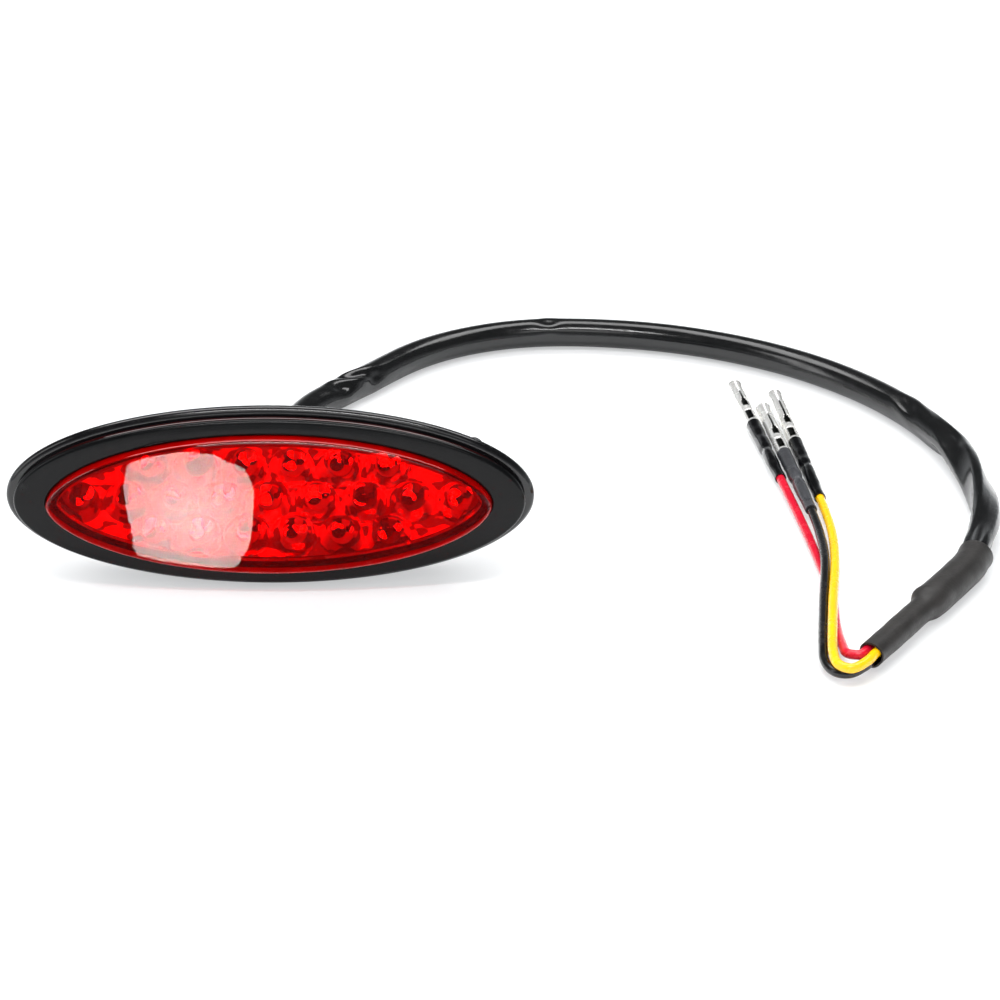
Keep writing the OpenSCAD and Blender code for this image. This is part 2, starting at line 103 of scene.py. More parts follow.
STUD_BACK = box("mounting_studs")[1].y
OUTLET_R = 4.5
SHANK_R, BOSS_R = 1.1, 1.9
BEZEL_T = 1.2
FLANGE_FRONT = BEZEL_FRONT + BEZEL_T
FLOOR_FRONT = SHELL_BACK - 2.5
SCREW_X = BEZEL[0] / 2 - 3.1

# Lens window: an almond, where a power of 0.5 would be an ellipse
WINDOW_W, WINDOW_H, WINDOW_POWER = 88.0, 29.4, 0.58
LED_PITCH, LED_ROW_GAP = 9.4, 7.4
MIDDLE_ROW = [(i * LED_PITCH, 0.0) for i in range(-4, 5)]
OUTER_ROWS = [((i - 2.5) * LED_PITCH, side * LED_ROW_GAP) for i in range(6) for side in (-1, 1)]
LED_PLACES = MIDDLE_ROW + OUTER_ROWS

# Cable: it drops to the ground behind the lamp, bends right and sweeps round to the front
SLEEVE_R, SLEEVE_BORE_R = 3.0, 2.3
SLEEVE_SPLIT_Y = 7.6
CABLE_REST = (box("heat_shrink")[1].z - box("heat_shrink")[0].z) / 2
DROP_START, DROP_ANGLE = 7.7, 48.0
FIRST_BEND_Y, FIRST_BEND_R, FIRST_BEND_ANGLE = 49.3, 30.0, 37.0
LINK_LENGTH, SECOND_BEND_R = 26.0, 48.0
SWEEP_R, SWEEP_ANGLE = 87.0, 110.0
LAST_BEND_R, LAST_BEND_ANGLE = 40.0, 13.0
SLEEVE_TAIL, SHRINK_STEP, SHRINK_TAIL = 14.0, 16.0, 39.5

# Leads: places from the mouth of the heat-shrink tube, with the height above the ground
MOUTH = joint_place("lead_flex")
WIRE_R = 0.95
BUNDLE = {"red": (-1.05, 0.68), "black": (0.0, -1.25), "yellow": (0.9, 0.7)}
LEAD_PLACES = {
    "red": [(-2.4, -1.0, 4.1), (-4.5, 0.2, 3.8), (-4.9, 4, 3.0), (-4.9, 16, 1.0), (-4.5, 31, 1.0),
            (-5.4, 41.5, 1.0), (-6.7, 54, 1.1), (-8.2, 66, 1.3), (-10.35, 81.6, 1.6)],
    "black": [(-1.5, -2.2, 2.2), (-4.3, -4.2, 1.9), (-7.1, -3.4, 1.8), (-8.6, 0.2, 1.9), (-8.5, 6, 2.3),
              (-6.8, 22.7, 2.5), (-4.8, 41, 2.9), (-4.7, 54, 2.6), (-5.4, 64.5, 2.5)],
    "yellow": [(-1.2, -3.6, 4.2), (-4.2, -6.2, 4.1), (-6.7, -4.4, 4.0), (-7.2, 0, 3.9), (-6.8, 6, 3.8),
               (-5.0, 22.7, 3.4), (-2.8, 41, 2.9), (-2.1, 56, 2.4), (-2.8, 72, 1.6)],
}
BOOT_LENGTH = 28.0


# ---- Mesh helpers, all in mm ----
def linked(name, data):
    """New object in the scene."""
    obj = bpy.data.objects.new(name, data)
    bpy.context.scene.collection.objects.link(obj)
    return obj


def add_object(name, verts, faces, sharp=35):
    """Object from points in mm, with normals outwards and edges over `sharp` degrees kept hard."""
    mesh = bpy.data.meshes.new(name)
    mesh.from_pydata([Vector(v) * MM for v in verts], [], faces)
    bm = bmesh.new()
    bm.from_mesh(mesh)
    bmesh.ops.remove_doubles(bm, verts=bm.verts, dist=1e-7)
    bmesh.ops.dissolve_degenerate(bm, edges=bm.edges, dist=1e-8)
    bmesh.ops.recalc_face_normals(bm, faces=bm.faces)
    bm.to_mesh(mesh)
    bm.free()
    mesh.shade_smooth()
    mesh.set_sharp_from_angle(angle=radians(sharp))
    return linked(name, mesh)


def place(obj, material, body, *nodes, slot=None):
    """Gives a piece its material, its CAD body and the CAD nodes it stands for. The slot is not used."""
    obj.data.materials.clear()
    obj.data.materials.append(MATERIALS[material])
    if body is not None:
        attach(obj, body)
    if nodes:
        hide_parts(*nodes)
    return obj


def piece(name, mesh, *look, sharp=35, slot=None):
    """New object from verts and faces, placed at once."""
    return place(add_object(name, *mesh, sharp=sharp), *look, slot=slot)


def skin(rings, closed=False):
    """Verts and faces of a surface through rings with the same number of points."""
    count = len(rings[0])
    verts = [p for ring in rings for p in ring]
    faces = []
    for i in range(len(rings) if closed else len(rings) - 1):
        a, b = i * count, (i + 1) % len(rings) * count
        for k in range(count):
            n = (k + 1) % count
            faces.append((a + k, a + n, b + n, b + k))
    return verts, faces


def solid(rings):
    """Surface through rings, closed at both ends by fans round the middle of the end rings."""
    verts, faces = skin(rings)
    count = len(rings[0])
    for ring, base in ((rings[0], 0), (rings[-1], (len(rings) - 1) * count)):
        verts.append(sum((Vector(p) for p in ring), Vector()) / count)
        faces += [(base + k, base + (k + 1) % count, len(verts) - 1) for k in range(count)]
    return verts, faces


def join(*parts):
    """One list of verts and faces from several."""
    verts, faces = [], []
    for part_verts, part_faces in parts:
        base = len(verts)
        verts += part_verts
        faces += [tuple(base + i for i in f) for f in part_faces]
    return verts, faces


def outline(w, h, power=0.5, inset=0.0, count=192):
    """Points (x, z) of an ellipse or almond, moved inwards along its normal by `inset`."""
    raw = []
    for i in range(count):
        t = TAU * i / count
        s = sin(t)
        raw.append((w / 2 * cos(t), h / 2 * copysign(abs(s) ** (2 * power), s)))
    points = []
    for i, (x, z) in enumerate(raw):
        tx = raw[(i + 1) % count][0] - raw[i - 1][0]
        tz = raw[(i + 1) % count][1] - raw[i - 1][1]
        size = hypot(tx, tz)
        points.append((x - inset * tz / size, z + inset * tx / size))
    return points


def ring_at(points, y):
    """Ring of (x, z) points at one y."""
    return [(x, y, z) for x, z in points]


def mixed(a, b, share):
    """Ring between two outlines, point by point."""
    return [(p[0] + (q[0] - p[0]) * share, p[1] + (q[1] - p[1]) * share) for p, q in zip(a, b)]


def lathe(profile, x=0.0, z=0.0, count=64, closed=True):
    """Turned solid along Y from (radius, y) points; a closed profile is a ring, an open one is capped."""
    rings = [[(x + r * cos(TAU * k / count), y, z + r * sin(TAU * k / count))
              for k in range(count)] for r, y in profile]
    return skin(rings, closed) if closed else solid(rings)


def rounded(size, r, y, start, end, steps, turn=1, power=0.5, inset=0.0):
    """Rings of an outline whose edge follows an arc of radius r round the height y, between two degrees."""
    rings = []
    for i in range(steps + 1):
        a = radians(start + (end - start) * i / steps)
        rings.append(ring_at(outline(*size, power, inset + r - r * cos(a)), y + turn * r * sin(a)))
    return rings


def rod(r, start, end, x=0.0, z=0.0, count=48):
    """Plain round bar along Y."""
    return lathe([(r, start), (r, end)], x=x, z=z, count=count, closed=False)


def block(low, high):
    """Box between two corners."""
    verts = [(x, y, z) for x in (low[0], high[0]) for y in (low[1], high[1]) for z in (low[2], high[2])]
    return verts, [(0, 1, 3, 2), (4, 6, 7, 5), (0, 4, 5, 1), (2, 3, 7, 6), (0, 2, 6, 4), (1, 5, 7, 3)]


def cut(obj, cutters):
    """Subtracts a mesh of (verts, faces) from obj and keeps the result as its mesh."""
    tool = add_object("cutter", *cutters)
    modifier = obj.modifiers.new("cut", "BOOLEAN")
    modifier.operation = "DIFFERENCE"
    modifier.solver = "EXACT"
    modifier.object = tool
    graph = bpy.context.evaluated_depsgraph_get()
    mesh = bpy.data.meshes.new_from_object(obj.evaluated_get(graph), depsgraph=graph)
    obj.modifiers.clear()
    obj.data = mesh
    mesh.set_sharp_from_angle(angle=radians(35))
    bpy.data.objects.remove(tool)
    return obj


# ---- Materials ----
def new_material(name):
    """Empty node material and its tree."""
    mat = bpy.data.materials.new(name)
    mat.use_nodes = True
    mat.node_tree.nodes.clear()
    return mat, mat.node_tree


def node(tree, kind, settings=None, **inputs):
    """New shader node with some settings; inputs are values, sockets or nodes, named by their sockets."""
    made = tree.nodes.new("ShaderNode" + kind)
    for key, value in (settings or {}).items():
        setattr(made, key, value)
    for key, value in inputs.items():
        socket = made.inputs[int(key[1:])] if key[0] == "i" and key[1:].isdigit() else made.inputs[key]
        if isinstance(value, bpy.types.Node):
            value = value.outputs[0]
        if isinstance(value, bpy.types.NodeSocket):
            tree.links.new(value, socket)
        else:
            socket.default_value = value
    return made


def seal(mat, shader):
    """The material, with a shader sent to its output."""
    node(mat.node_tree, "OutputMaterial", Surface=shader)
    return mat


def maths(tree, operation, *values):
    """Sum, product or comparison of values and sockets."""
    inputs = {f"i{k}": value for k, value in enumerate(values)}
    return node(tree, "Math", {"operation": operation}, **inputs)


def ramp(tree, value, start, end, low, high):
    """Straight change from `low` at `start` to `high` at `end`, flat beyond them."""
    return node(tree, "MapRange", i0=value, i1=start, i2=end, i3=low, i4=high)


def layered(tree, share, under, over, how="MIX"):
    """Colour socket of one colour laid over or multiplied into another."""
    made = node(tree, "Mix", {"data_type": "RGBA", "blend_type": how}, i0=share, i6=under, i7=over)
    return made.outputs[2]


def mix_shaders(tree, share, first, second):
    """Mix of two shaders, with `share` of the second."""
    return node(tree, "MixShader", i0=share, i1=first, i2=second)


def grain(tree, size_mm, low, high, detail=3.0, stretch=None):
    """Noise with features of about size_mm in object space, between two values."""
    coords = node(tree, "TexCoord").outputs["Object"]
    if stretch:
        coords = node(tree, "Mapping", Vector=coords, Scale=stretch)
    wave = node(tree, "TexNoise", Vector=coords, Scale=1 / (size_mm * MM), Detail=detail)
    return ramp(tree, wave, 0.3, 0.7, low, high)


def tinted(tree, colour, factor):
    """A colour, as three numbers or a socket, multiplied by a factor."""
    grey = node(tree, "CombineColor", Red=factor, Green=factor, Blue=factor)
    if not isinstance(colour, bpy.types.NodeSocket):
        colour = (*colour, 1.0)
    return layered(tree, 1.0, colour, grey, "MULTIPLY")


def bumped(tree, height, depth_mm):
    """Normal of a bump whose full height is depth_mm."""
    return node(tree, "Bump", Height=height, Distance=depth_mm * MM, Strength=1.0)


def facing_parts(tree, quantity="Normal"):
    """X, Y and Z of the shaded point's normal or position."""
    vector = node(tree, "NewGeometry").outputs[quantity]
    return node(tree, "SeparateXYZ", Vector=vector).outputs


def surface(name, colour, rough, mottle=0.12, mottle_mm=5.0, rough_spread=0.08, grain_mm=0.5,
            grain_depth=0.01, wear=0.0, metallic=0.0, coat=0.0, specular=0.5):
    """Moulded, coated or metal surface: mottled colour, uneven roughness, fine grain and worn edges."""
    mat, tree = new_material(name)
    tone = tinted(tree, colour, grain(tree, mottle_mm, 1 - mottle, 1 + mottle))
    if wear:
        edge = node(tree, "NewGeometry").outputs["Pointiness"]
        rub = maths(tree, "MULTIPLY", ramp(tree, edge, 0.52, 0.62, 0.0, wear), grain(tree, 1.5, 0.2, 1.0))
        worn = tuple(min(1.0, c * 2.2 + 0.05) for c in colour)
        tone = layered(tree, rub, tone, (*worn, 1.0))
    low, high = max(0.02, rough - rough_spread), min(1.0, rough + rough_spread)
    shader = node(tree, "BsdfPrincipled", Metallic=metallic, **{
        "Base Color": tone, "Roughness": grain(tree, mottle_mm * 0.6, low, high),
        "Normal": bumped(tree, grain(tree, grain_mm, 0.0, 1.0), grain_depth),
        "Coat Weight": coat, "Coat Roughness": 0.12, "Specular IOR Level": specular})
    return seal(mat, shader)


def red_plastic(through, wall, body, body_share, wall_share, front_gloss, ripple, rough=0.03, ior=1.49):
    """Clear coloured plastic of the lens: `through` tints what shows through a face, `wall` an edge-on wall.

    A share of the light is scattered in the front and in the walls, and the flat front reflects only
    `front_gloss` of a full gloss."""
    mat, tree = new_material("red_lens")
    facing = maths(tree, "ABSOLUTE", facing_parts(tree)["Y"])
    side = ramp(tree, facing, 0.35, 0.75, 0.0, 1.0)
    # Painted shade: behind the front of the bezel, the lens's tint and scattered colour are painted dark on the
    # flange between bezel and rim.
    painted_shade_under_bezel = ramp(tree, facing_parts(tree, "Position")["Y"], (FLANGE_FRONT - 0.1) * MM,
                       (FLANGE_FRONT + 0.05) * MM, 1.0, 0.06)
    shade = maths(tree, "MULTIPLY", grain(tree, 7.0, 0.9, 1.0), painted_shade_under_bezel)
    tint = tinted(tree, layered(tree, side, (*wall, 1.0), (*through, 1.0)), shade)
    clear = node(tree, "BsdfTransparent", Color=tint)
    cloud = node(tree, "BsdfDiffuse", Color=tinted(tree, body, painted_shade_under_bezel))
    cloudy = maths(tree, "MULTIPLY", ramp(tree, side, 0.0, 1.0, wall_share, body_share),
                   grain(tree, 6.0, 0.75, 1.25))
    inside = mix_shaders(tree, cloudy, clear, cloud)
    normal = bumped(tree, grain(tree, 9.0, 0.0, 1.0, detail=1.0), ripple)
    gloss = node(tree, "BsdfGlossy", Color=(1.0, 1.0, 1.0, 1.0),
                 Roughness=grain(tree, 4.0, rough * 0.6, rough * 1.4), Normal=normal)
    outside = maths(tree, "SUBTRACT", 1.0, node(tree, "NewGeometry").outputs["Backfacing"])
    share = maths(tree, "MULTIPLY", node(tree, "Fresnel", IOR=ior, Normal=normal), outside)
    share = maths(tree, "MULTIPLY", share, ramp(tree, facing, 0.8, 0.97, 1.0, front_gloss))
    return seal(mat, mix_shaders(tree, share, inside, gloss))


def cast_epoxy(tint, rough=0.02, ior=1.5):
    """Clear cast epoxy that bends what is seen through it and lets light pass to the parts behind."""
    mat, tree = new_material("led_epoxy")
    normal = bumped(tree, grain(tree, 1.2, 0.0, 1.0), 0.004)
    glass = node(tree, "BsdfGlass", Color=(*tint, 1.0), IOR=ior,
                 Roughness=grain(tree, 1.0, rough * 0.5, rough * 1.5), Normal=normal)
    clear = node(tree, "BsdfTransparent", Color=(*tint, 1.0))
    shadow = node(tree, "LightPath").outputs["Is Shadow Ray"]
    return seal(mat, mix_shaders(tree, shadow, glass, clear))


# Painted dark patches on the mirror film, painted reflections of the dark inside: size in mm, thresholds and
# shade; and the strength of a painted glow of the film where it is seen through the lens
PAINTED_PATCH_MM, PAINTED_PATCH_LOW, PAINTED_PATCH_HIGH, PAINTED_PATCH_SHADE = 3.4, 0.66, 0.74, 0.2
MIRROR_PAINTED_GLOW = 0.5


def mirror_with_painted_shade():
    """Bright film on moulded cups, whose lower halves and some soft patches are painted dark, as painted
    reflections of the dark inside.
    """
    mat, tree = new_material("mirror_film")
    warp = grain(tree, 2.2, 0.0, 1.0, detail=1.0)
    painted_patches = grain(tree, PAINTED_PATCH_MM, 0.0, 1.0, detail=1.0, stretch=(0.7, 1.0, 1.3))
    field = maths(tree, "MULTIPLY_ADD", warp, 0.3, painted_patches)
    # Painted reflections: soft patches, and the lower halves of the cups whose faces turn upwards, are darkened in
    # the film's colour.
    lit = ramp(tree, field, PAINTED_PATCH_LOW, PAINTED_PATCH_HIGH, 1.0, PAINTED_PATCH_SHADE)
    below = ramp(tree, facing_parts(tree)["Z"], 0.25, 0.7, 1.0, 0.3)
    colour = tinted(tree, (0.97, 0.97, 0.97), maths(tree, "MULTIPLY", lit, below))
    film = node(tree, "BsdfPrincipled", Metallic=0.5, Roughness=grain(tree, 3.0, 0.08, 0.24),
                Normal=bumped(tree, grain(tree, 1.4, 0.0, 1.0), 0.02), **{"Base Color": colour})
    # Painted glow: where the film is seen through the lens, it glows in its own colour, though it is no lamp.
    layers = node(tree, "LightPath").outputs["Transparent Depth"]
    painted_glow_strength = maths(tree, "MULTIPLY", maths(tree, "GREATER_THAN", layers, 0.5), MIRROR_PAINTED_GLOW)
    glow = node(tree, "Emission", Color=colour, Strength=painted_glow_strength)
    return seal(mat, node(tree, "AddShader", i0=film, i1=glow))


# Colour of the LED chips and of their painted glints, and the glow of those painted glints
CHIP_AND_GLINT_COLOUR, PAINTED_GLINT_GLOW = (1.0, 0.85, 0.12, 1.0), 45.0


def chip_with_painted_glints():
    """Metal inside an LED, with small painted glints: spots of glow that stand in for reflected light; they show
    to the eye and light nothing else.
    """
    mat, tree = new_material("led_chip")
    metal = node(tree, "BsdfPrincipled", Metallic=0.6, Roughness=grain(tree, 0.4, 0.2, 0.4),
                 **{"Base Color": CHIP_AND_GLINT_COLOUR})
    # Painted glints: random small spots of the chip glow.
    painted_glint_spots = ramp(tree, grain(tree, 2.5, 0.0, 1.0), 0.56, 0.63, 0.0, PAINTED_GLINT_GLOW)
    painted_glint = node(tree, "Emission", Color=CHIP_AND_GLINT_COLOUR, Strength=painted_glint_spots)
    rays = node(tree, "LightPath").outputs
    bounced = maths(tree, "ADD", rays["Is Diffuse Ray"], rays["Is Glossy Ray"])
    reflected = maths(tree, "SUBTRACT", 1.0, rays["Is Transmission Ray"])
    unseen = maths(tree, "MINIMUM", maths(tree, "MULTIPLY", bounced, reflected), 1.0)
    return seal(mat, mix_shaders(tree, unseen, painted_glint, metal))


def banded(name, body, bands, axis_mm, rough=0.35):
    """Small component body with coloured rings across Z. A band is (centre z in mm, half width, colour)."""
    mat, tree = new_material(name)
    coords = node(tree, "TexCoord").outputs["Object"]
    height = node(tree, "SeparateXYZ", Vector=coords).outputs["Z"]
    tone = tinted(tree, body, grain(tree, axis_mm, 0.85, 1.1))
    for centre, half, colour in bands:
        inside = maths(tree, "COMPARE", height, centre * MM, half * MM)
        tone = layered(tree, inside, tone, (*colour, 1.0))
    shader = node(tree, "BsdfPrincipled", Roughness=grain(tree, 0.8, rough - 0.1, rough + 0.1),
                  Normal=bumped(tree, grain(tree, 0.3, 0.0, 1.0), 0.01), **{"Base Color": tone})
    return seal(mat, shader)


MATERIALS = {
    "housing": surface(
        "housing_plastic", (0.004, 0.004, 0.0045), 0.16, rough_spread=0.06, grain_mm=1.2,
        grain_depth=0.008, wear=0.3, coat=0.3, specular=0.4),
    "bezel": surface(
        "bezel_plastic", (0.003, 0.0032, 0.0035), 0.2, mottle=0.2, rough_spread=0.05, grain_mm=0.25,
        grain_depth=0.003, wear=0.1, specular=0.18),
    "lens": red_plastic(
        (0.98, 0.006, 0.004), (0.5, 0.004, 0.004), body=(1.0, 0.0, 0.0), body_share=0.05, wall_share=0.3,
        front_gloss=0.08, ripple=0.02),
    "mirror": mirror_with_painted_shade(),
    "epoxy": cast_epoxy((0.75, 0.6, 0.55)),
    "chip": chip_with_painted_glints(),
    "rubber": surface(
        "black_rubber", (0.02, 0.02, 0.02), 0.6, mottle=0.25, grain_mm=0.35, grain_depth=0.03,
        specular=0.35),
    "zinc": surface("zinc_steel", (0.62, 0.63, 0.64), 0.32, mottle=0.1, metallic=1.0, wear=0.3),
    "black_steel": surface(
        "black_steel", (0.03, 0.03, 0.033), 0.35, mottle=0.2, metallic=0.6, grain_mm=0.4,
        grain_depth=0.015, wear=0.5),
    "sleeve": surface(
        "sleeve_vinyl", (0.007, 0.0073, 0.0076), 0.17, mottle=0.15, rough_spread=0.06, grain_mm=0.6,
        grain_depth=0.006),
    "shrink": surface(
        "shrink_tube", (0.02, 0.018, 0.017), 0.5, mottle=0.2, grain_mm=0.4, grain_depth=0.02,
        specular=0.4),
    "boot": surface("boot_vinyl", (0.003, 0.003, 0.0035), 0.14, mottle=0.2, grain_mm=0.8, grain_depth=0.02),
    "grey_boot": surface(
        "grey_boot_vinyl", (0.04, 0.041, 0.046), 0.3, mottle=0.2, grain_mm=0.8, grain_depth=0.02),
    "red_wire": surface("red_wire", (0.58, 0.004, 0.024), 0.25, mottle=0.08),
    "black_wire": surface("black_wire", (0.005, 0.005, 0.0055), 0.25, mottle=0.15),
    "yellow_wire": surface("yellow_wire", (0.95, 0.51, 0.001), 0.25, mottle=0.06),
    "tin": surface(
        "tinned_brass", (0.97, 0.96, 0.93), 0.22, mottle=0.06, metallic=0.7, rough_spread=0.12,
        grain_mm=0.7, grain_depth=0.015, wear=0.2),
    # Painted shade: the inner face of a socket's sheet, tinned metal painted dark.
    "tin_painted_shade_inside": surface("tin_painted_shade_inside", (0.06, 0.063, 0.058), 0.35, mottle=0.3, metallic=0.8, grain_mm=0.7),
    "board": surface("board_laminate", (0.62, 0.66, 0.6), 0.4, mottle=0.06, grain_mm=0.6),
    "moulding": surface("component_body", (0.02, 0.02, 0.022), 0.45, grain_mm=0.3, grain_depth=0.02),
    "nylon": surface("nylon", (0.75, 0.74, 0.7), 0.4, mottle=0.05, grain_mm=0.6),
    "resistor": banded("resistor_body", (0.6, 0.45, 0.25), [
        (-2.2, 0.35, (0.25, 0.08, 0.02)), (-1.1, 0.35, (0.02, 0.02, 0.02)),
        (0.0, 0.35, (0.5, 0.05, 0.02)), (2.0, 0.35, (0.6, 0.42, 0.08))], 2.0),
    "diode": banded("diode_body", (0.02, 0.02, 0.02), [(1.7, 0.4, (0.7, 0.7, 0.7))], 1.5),
}


# ---- Lamp: lens, bezel, housing and seals ----
LENS_CROWN = 0.5
LENS_EDGE_R, INNER_EDGE_R = 1.1, 0.4
WINDOW = (WINDOW_W, WINDOW_H)


def window_line(inset=0.0):
    """Outline of the lens window, moved inwards by `inset`."""
    return outline(*WINDOW, WINDOW_POWER, inset)


def crowned(edge, y, shares):
    """Rings of a crowned face: the outline `edge`, at y, shrunk to each share of its size."""
    return [ring_at([(x * share, z * share) for x, z in edge], y - LENS_CROWN * (1 - share ** 2))
            for share in shares]


def lens_rings():
    """Rings of the lens, from the middle of its inner face round the flange to that of its outer face."""
    window, hollow, flange = window_line(), window_line(WALL), outline(*FLANGE)
    face, edge = LENS_FRONT + LENS_CROWN, 0.3
    shares = [0.02 + 0.98 * sin(pi / 2 * i / 12) for i in range(13)]
    rings = crowned(window_line(WALL + INNER_EDGE_R), face + WALL, shares)
    rings += rounded(WINDOW, INNER_EDGE_R, face + WALL + INNER_EDGE_R, 90, 0, 4, turn=-1,
                     power=WINDOW_POWER, inset=WALL)
    rings += [ring_at(hollow, FLANGE_BACK), ring_at(mixed(hollow, flange, 0.97), FLANGE_BACK),
              ring_at(flange, FLANGE_BACK - edge), ring_at(flange, FLANGE_FRONT + edge),
              ring_at(mixed(window, flange, 0.97), FLANGE_FRONT),
              ring_at(mixed(window, flange, 0.02), FLANGE_FRONT)]
    rings += rounded(WINDOW, LENS_EDGE_R, face + LENS_EDGE_R, 0, 90, 8, turn=-1, power=WINDOW_POWER)
    return rings + crowned(window_line(LENS_EDGE_R), face, shares[-2::-1])


def build_lens():
    piece("lens_dome", solid(lens_rings()), "lens", "lamp", "lens", sharp=50)


def build_bezel():
    """Rounded frame between an oval outside and an almond window, with two screw bosses behind it."""
    edge_r, lip_r, slope, gap = 0.85, 0.35, 0.3, 0.15
    rings = [ring_at(outline(*BEZEL), FLANGE_FRONT)]
    rings += rounded(BEZEL, edge_r, BEZEL_FRONT + slope + edge_r, 0, 80, 7, turn=-1)
    shoulder, lip = outline(*BEZEL, inset=edge_r), window_line(-gap - lip_r)
    for share in (0.15, 0.35, 0.55, 0.75, 0.9):
        rings.append(ring_at(mixed(shoulder, lip, share), BEZEL_FRONT + slope * (1 - share) ** 2))
    rings += rounded(WINDOW, lip_r, BEZEL_FRONT + lip_r, 90, 180, 4, turn=-1, power=WINDOW_POWER,
                     inset=-gap - 2 * lip_r)
    rings.append(ring_at(window_line(-gap), FLANGE_FRONT))
    top = FLANGE_FRONT - 0.4
    boss = [(SHANK_R, top), (BOSS_R, top), (BOSS_R, RIM_FRONT), (SHANK_R, RIM_FRONT)]
    bosses = [lathe(boss, x=side * SCREW_X, count=32) for side in (-1, 1)]
    piece("bezel_frame", join(skin(rings, closed=True), *bosses), "bezel", "lamp", "bezel")


def build_housing():
    """Rim and bowl as one shell, with holes for the studs, the cable and the bezel screws."""
    edge_r, back_r, lip_r, root_r, corner_r = 1.2, 0.6, 0.4, 1.0, 1.5
    front, back = (RIM[0] - 14, RIM[1] - 5), (RIM[0] - 16, RIM[1] - 13)
    rings = [ring_at(outline(*back, inset=WALL + corner_r), FLOOR_FRONT)]
    rings += rounded(back, corner_r, FLOOR_FRONT - corner_r, 270, 360, 4, turn=-1, inset=WALL)
    rings += rounded(front, lip_r, RIM_FRONT + lip_r, 180, 90, 3, turn=-1, inset=WALL - 2 * lip_r)
    rings += rounded(RIM, edge_r, RIM_FRONT + edge_r, 90, 0, 6, turn=-1)
    rings += rounded(RIM, back_r, RIM_BACK - back_r, 0, 90, 4)
    rings += rounded(front, root_r, RIM_BACK + root_r, 270, 180, 5, inset=-2 * root_r)
    for share in (0.35, 0.65):
        rings.append(ring_at(mixed(outline(*front), outline(*back), share),
                             RIM_BACK + (SHELL_BACK - RIM_BACK) * share))
    rings += rounded(back, corner_r, SHELL_BACK - corner_r, 0, 90, 6)
    shell = add_object("housing_shell", *solid(rings))
    low, high = FLOOR_FRONT - 1, SHELL_BACK + 1
    holes = [rod(STUD_R + 0.02, low, high, x=side * STUD_X) for side in (-1, 1)]
    holes.append(rod(OUTLET_R, low, high))
    holes += [rod(SHANK_R, RIM_FRONT - 1, RIM_BACK + 2, x=side * SCREW_X) for side in (-1, 1)]
    place(cut(shell, join(*holes)), "housing", "lamp", "rear_housing")


def build_gasket():
    """Rubber plate with rounded edges and holes for the studs and the grommet."""
    r, low = 0.5, GASKET_LOW.y
    rings = rounded(GASKET, r, low + r, 270, 360, 4) + rounded(GASKET, r, GASKET_HIGH.y - r, 0, 90, 4)
    plate = add_object("gasket_plate", *solid(rings))
    holes = [rod(STUD_R, low - 1, 1, x=side * STUD_X) for side in (-1, 1)] + [rod(OUTLET_R, low - 1, 1)]
    place(cut(plate, join(*holes)), "rubber", "lamp", "mounting_gasket")


# ---- Studs and screws ----
THREAD_PITCH, THREAD_DEPTH = 0.8, 0.42
RELIEF, RELIEF_R = 0.6, 2.1
TIP_CHAMFER = 0.8


def thread_radius(y, turn):
    """Radius of the stud's thread at a place along it and a share of a turn round it."""
    if y < RELIEF:
        return RELIEF_R
    wave = abs(2 * ((y / THREAD_PITCH + turn) % 1.0) - 1)
    r = STUD_R - THREAD_DEPTH * min(1.0, max(0.0, 1.25 * wave - 0.125))
    return min(r, STUD_R - TIP_CHAMFER + max(0.0, STUD_BACK - y))


def stud(x):
    """Threaded stud with a round head moulded into the housing."""
    low, head_r, bevel, count, steps_per_turn = box("mounting_studs")[0].y, 3.8, 0.4, 48, 10
    head = [(head_r - bevel, low), (head_r, low + bevel), (head_r, FLOOR_FRONT), (STUD_R, FLOOR_FRONT),
            (STUD_R, 0.0)]
    steps = round(STUD_BACK / (THREAD_PITCH / steps_per_turn))
    levels = [(y, r) for r, y in head] + [(STUD_BACK * i / steps, None) for i in range(steps + 1)]
    rings = []
    for y, plain in levels:
        ring = []
        for k in range(count):
            r = plain or thread_radius(y, k / count)
            ring.append((x + r * cos(TAU * k / count), y, r * sin(TAU * k / count)))
        rings.append(ring)
    return solid(rings)


def build_studs():
    studs = join(stud(-STUD_X), stud(STUD_X))
    piece("threaded_studs", studs, "black_steel", "lamp", "mounting_studs", sharp=40)


def build_bezel_screws():
    """Pan-head screws with a cross recess, driven from behind the rim."""
    low, high = box("bezel_screws")
    head_r, head_edge, crown, recess, slot, slot_length, tip = 1.8, 0.6, 0.8, 0.8, 0.45, 2.0, 0.5
    dome = [(head_r * cos(a), RIM_BACK + head_edge + crown * sin(a))
            for a in (0.0, 0.3, 0.6, 0.9, 1.2, 1.45)]
    shank = [(SHANK_R - tip, low.y), (SHANK_R, low.y + tip), (SHANK_R, RIM_BACK), (head_r, RIM_BACK)]
    places = (-SCREW_X, SCREW_X)
    screws = [lathe(shank + dome, x=x, count=40, closed=False) for x in places]
    obj = add_object("pan_screws", *join(*screws), sharp=30)
    for w, h in ((slot, slot_length), (slot_length, slot)):
        slots = [block((x - w / 2, high.y - recess, -h / 2), (x + w / 2, high.y + 1, h / 2)) for x in places]
        obj = cut(obj, join(*slots))
    place(obj, "zinc", "lamp", "bezel_screws")


# ---- Reflector and LEDs ----
CUP_R, CUP_DEPTH, HOLE_R, CUP_MARGIN = 4.55, 6.0, 2.65, 2.6


def cup_depth(x, z):
    """Depth of the reflector's face at a place: a paraboloid round each LED."""
    deepest = 0.0
    for cx, cz in LED_PLACES:
        r2 = (x - cx) ** 2 + (z - cz) ** 2
        depth = CUP_DEPTH * (CUP_R ** 2 - r2) / (CUP_R ** 2 - HOLE_R ** 2)
        deepest = max(deepest, min(CUP_DEPTH, depth))
    return deepest


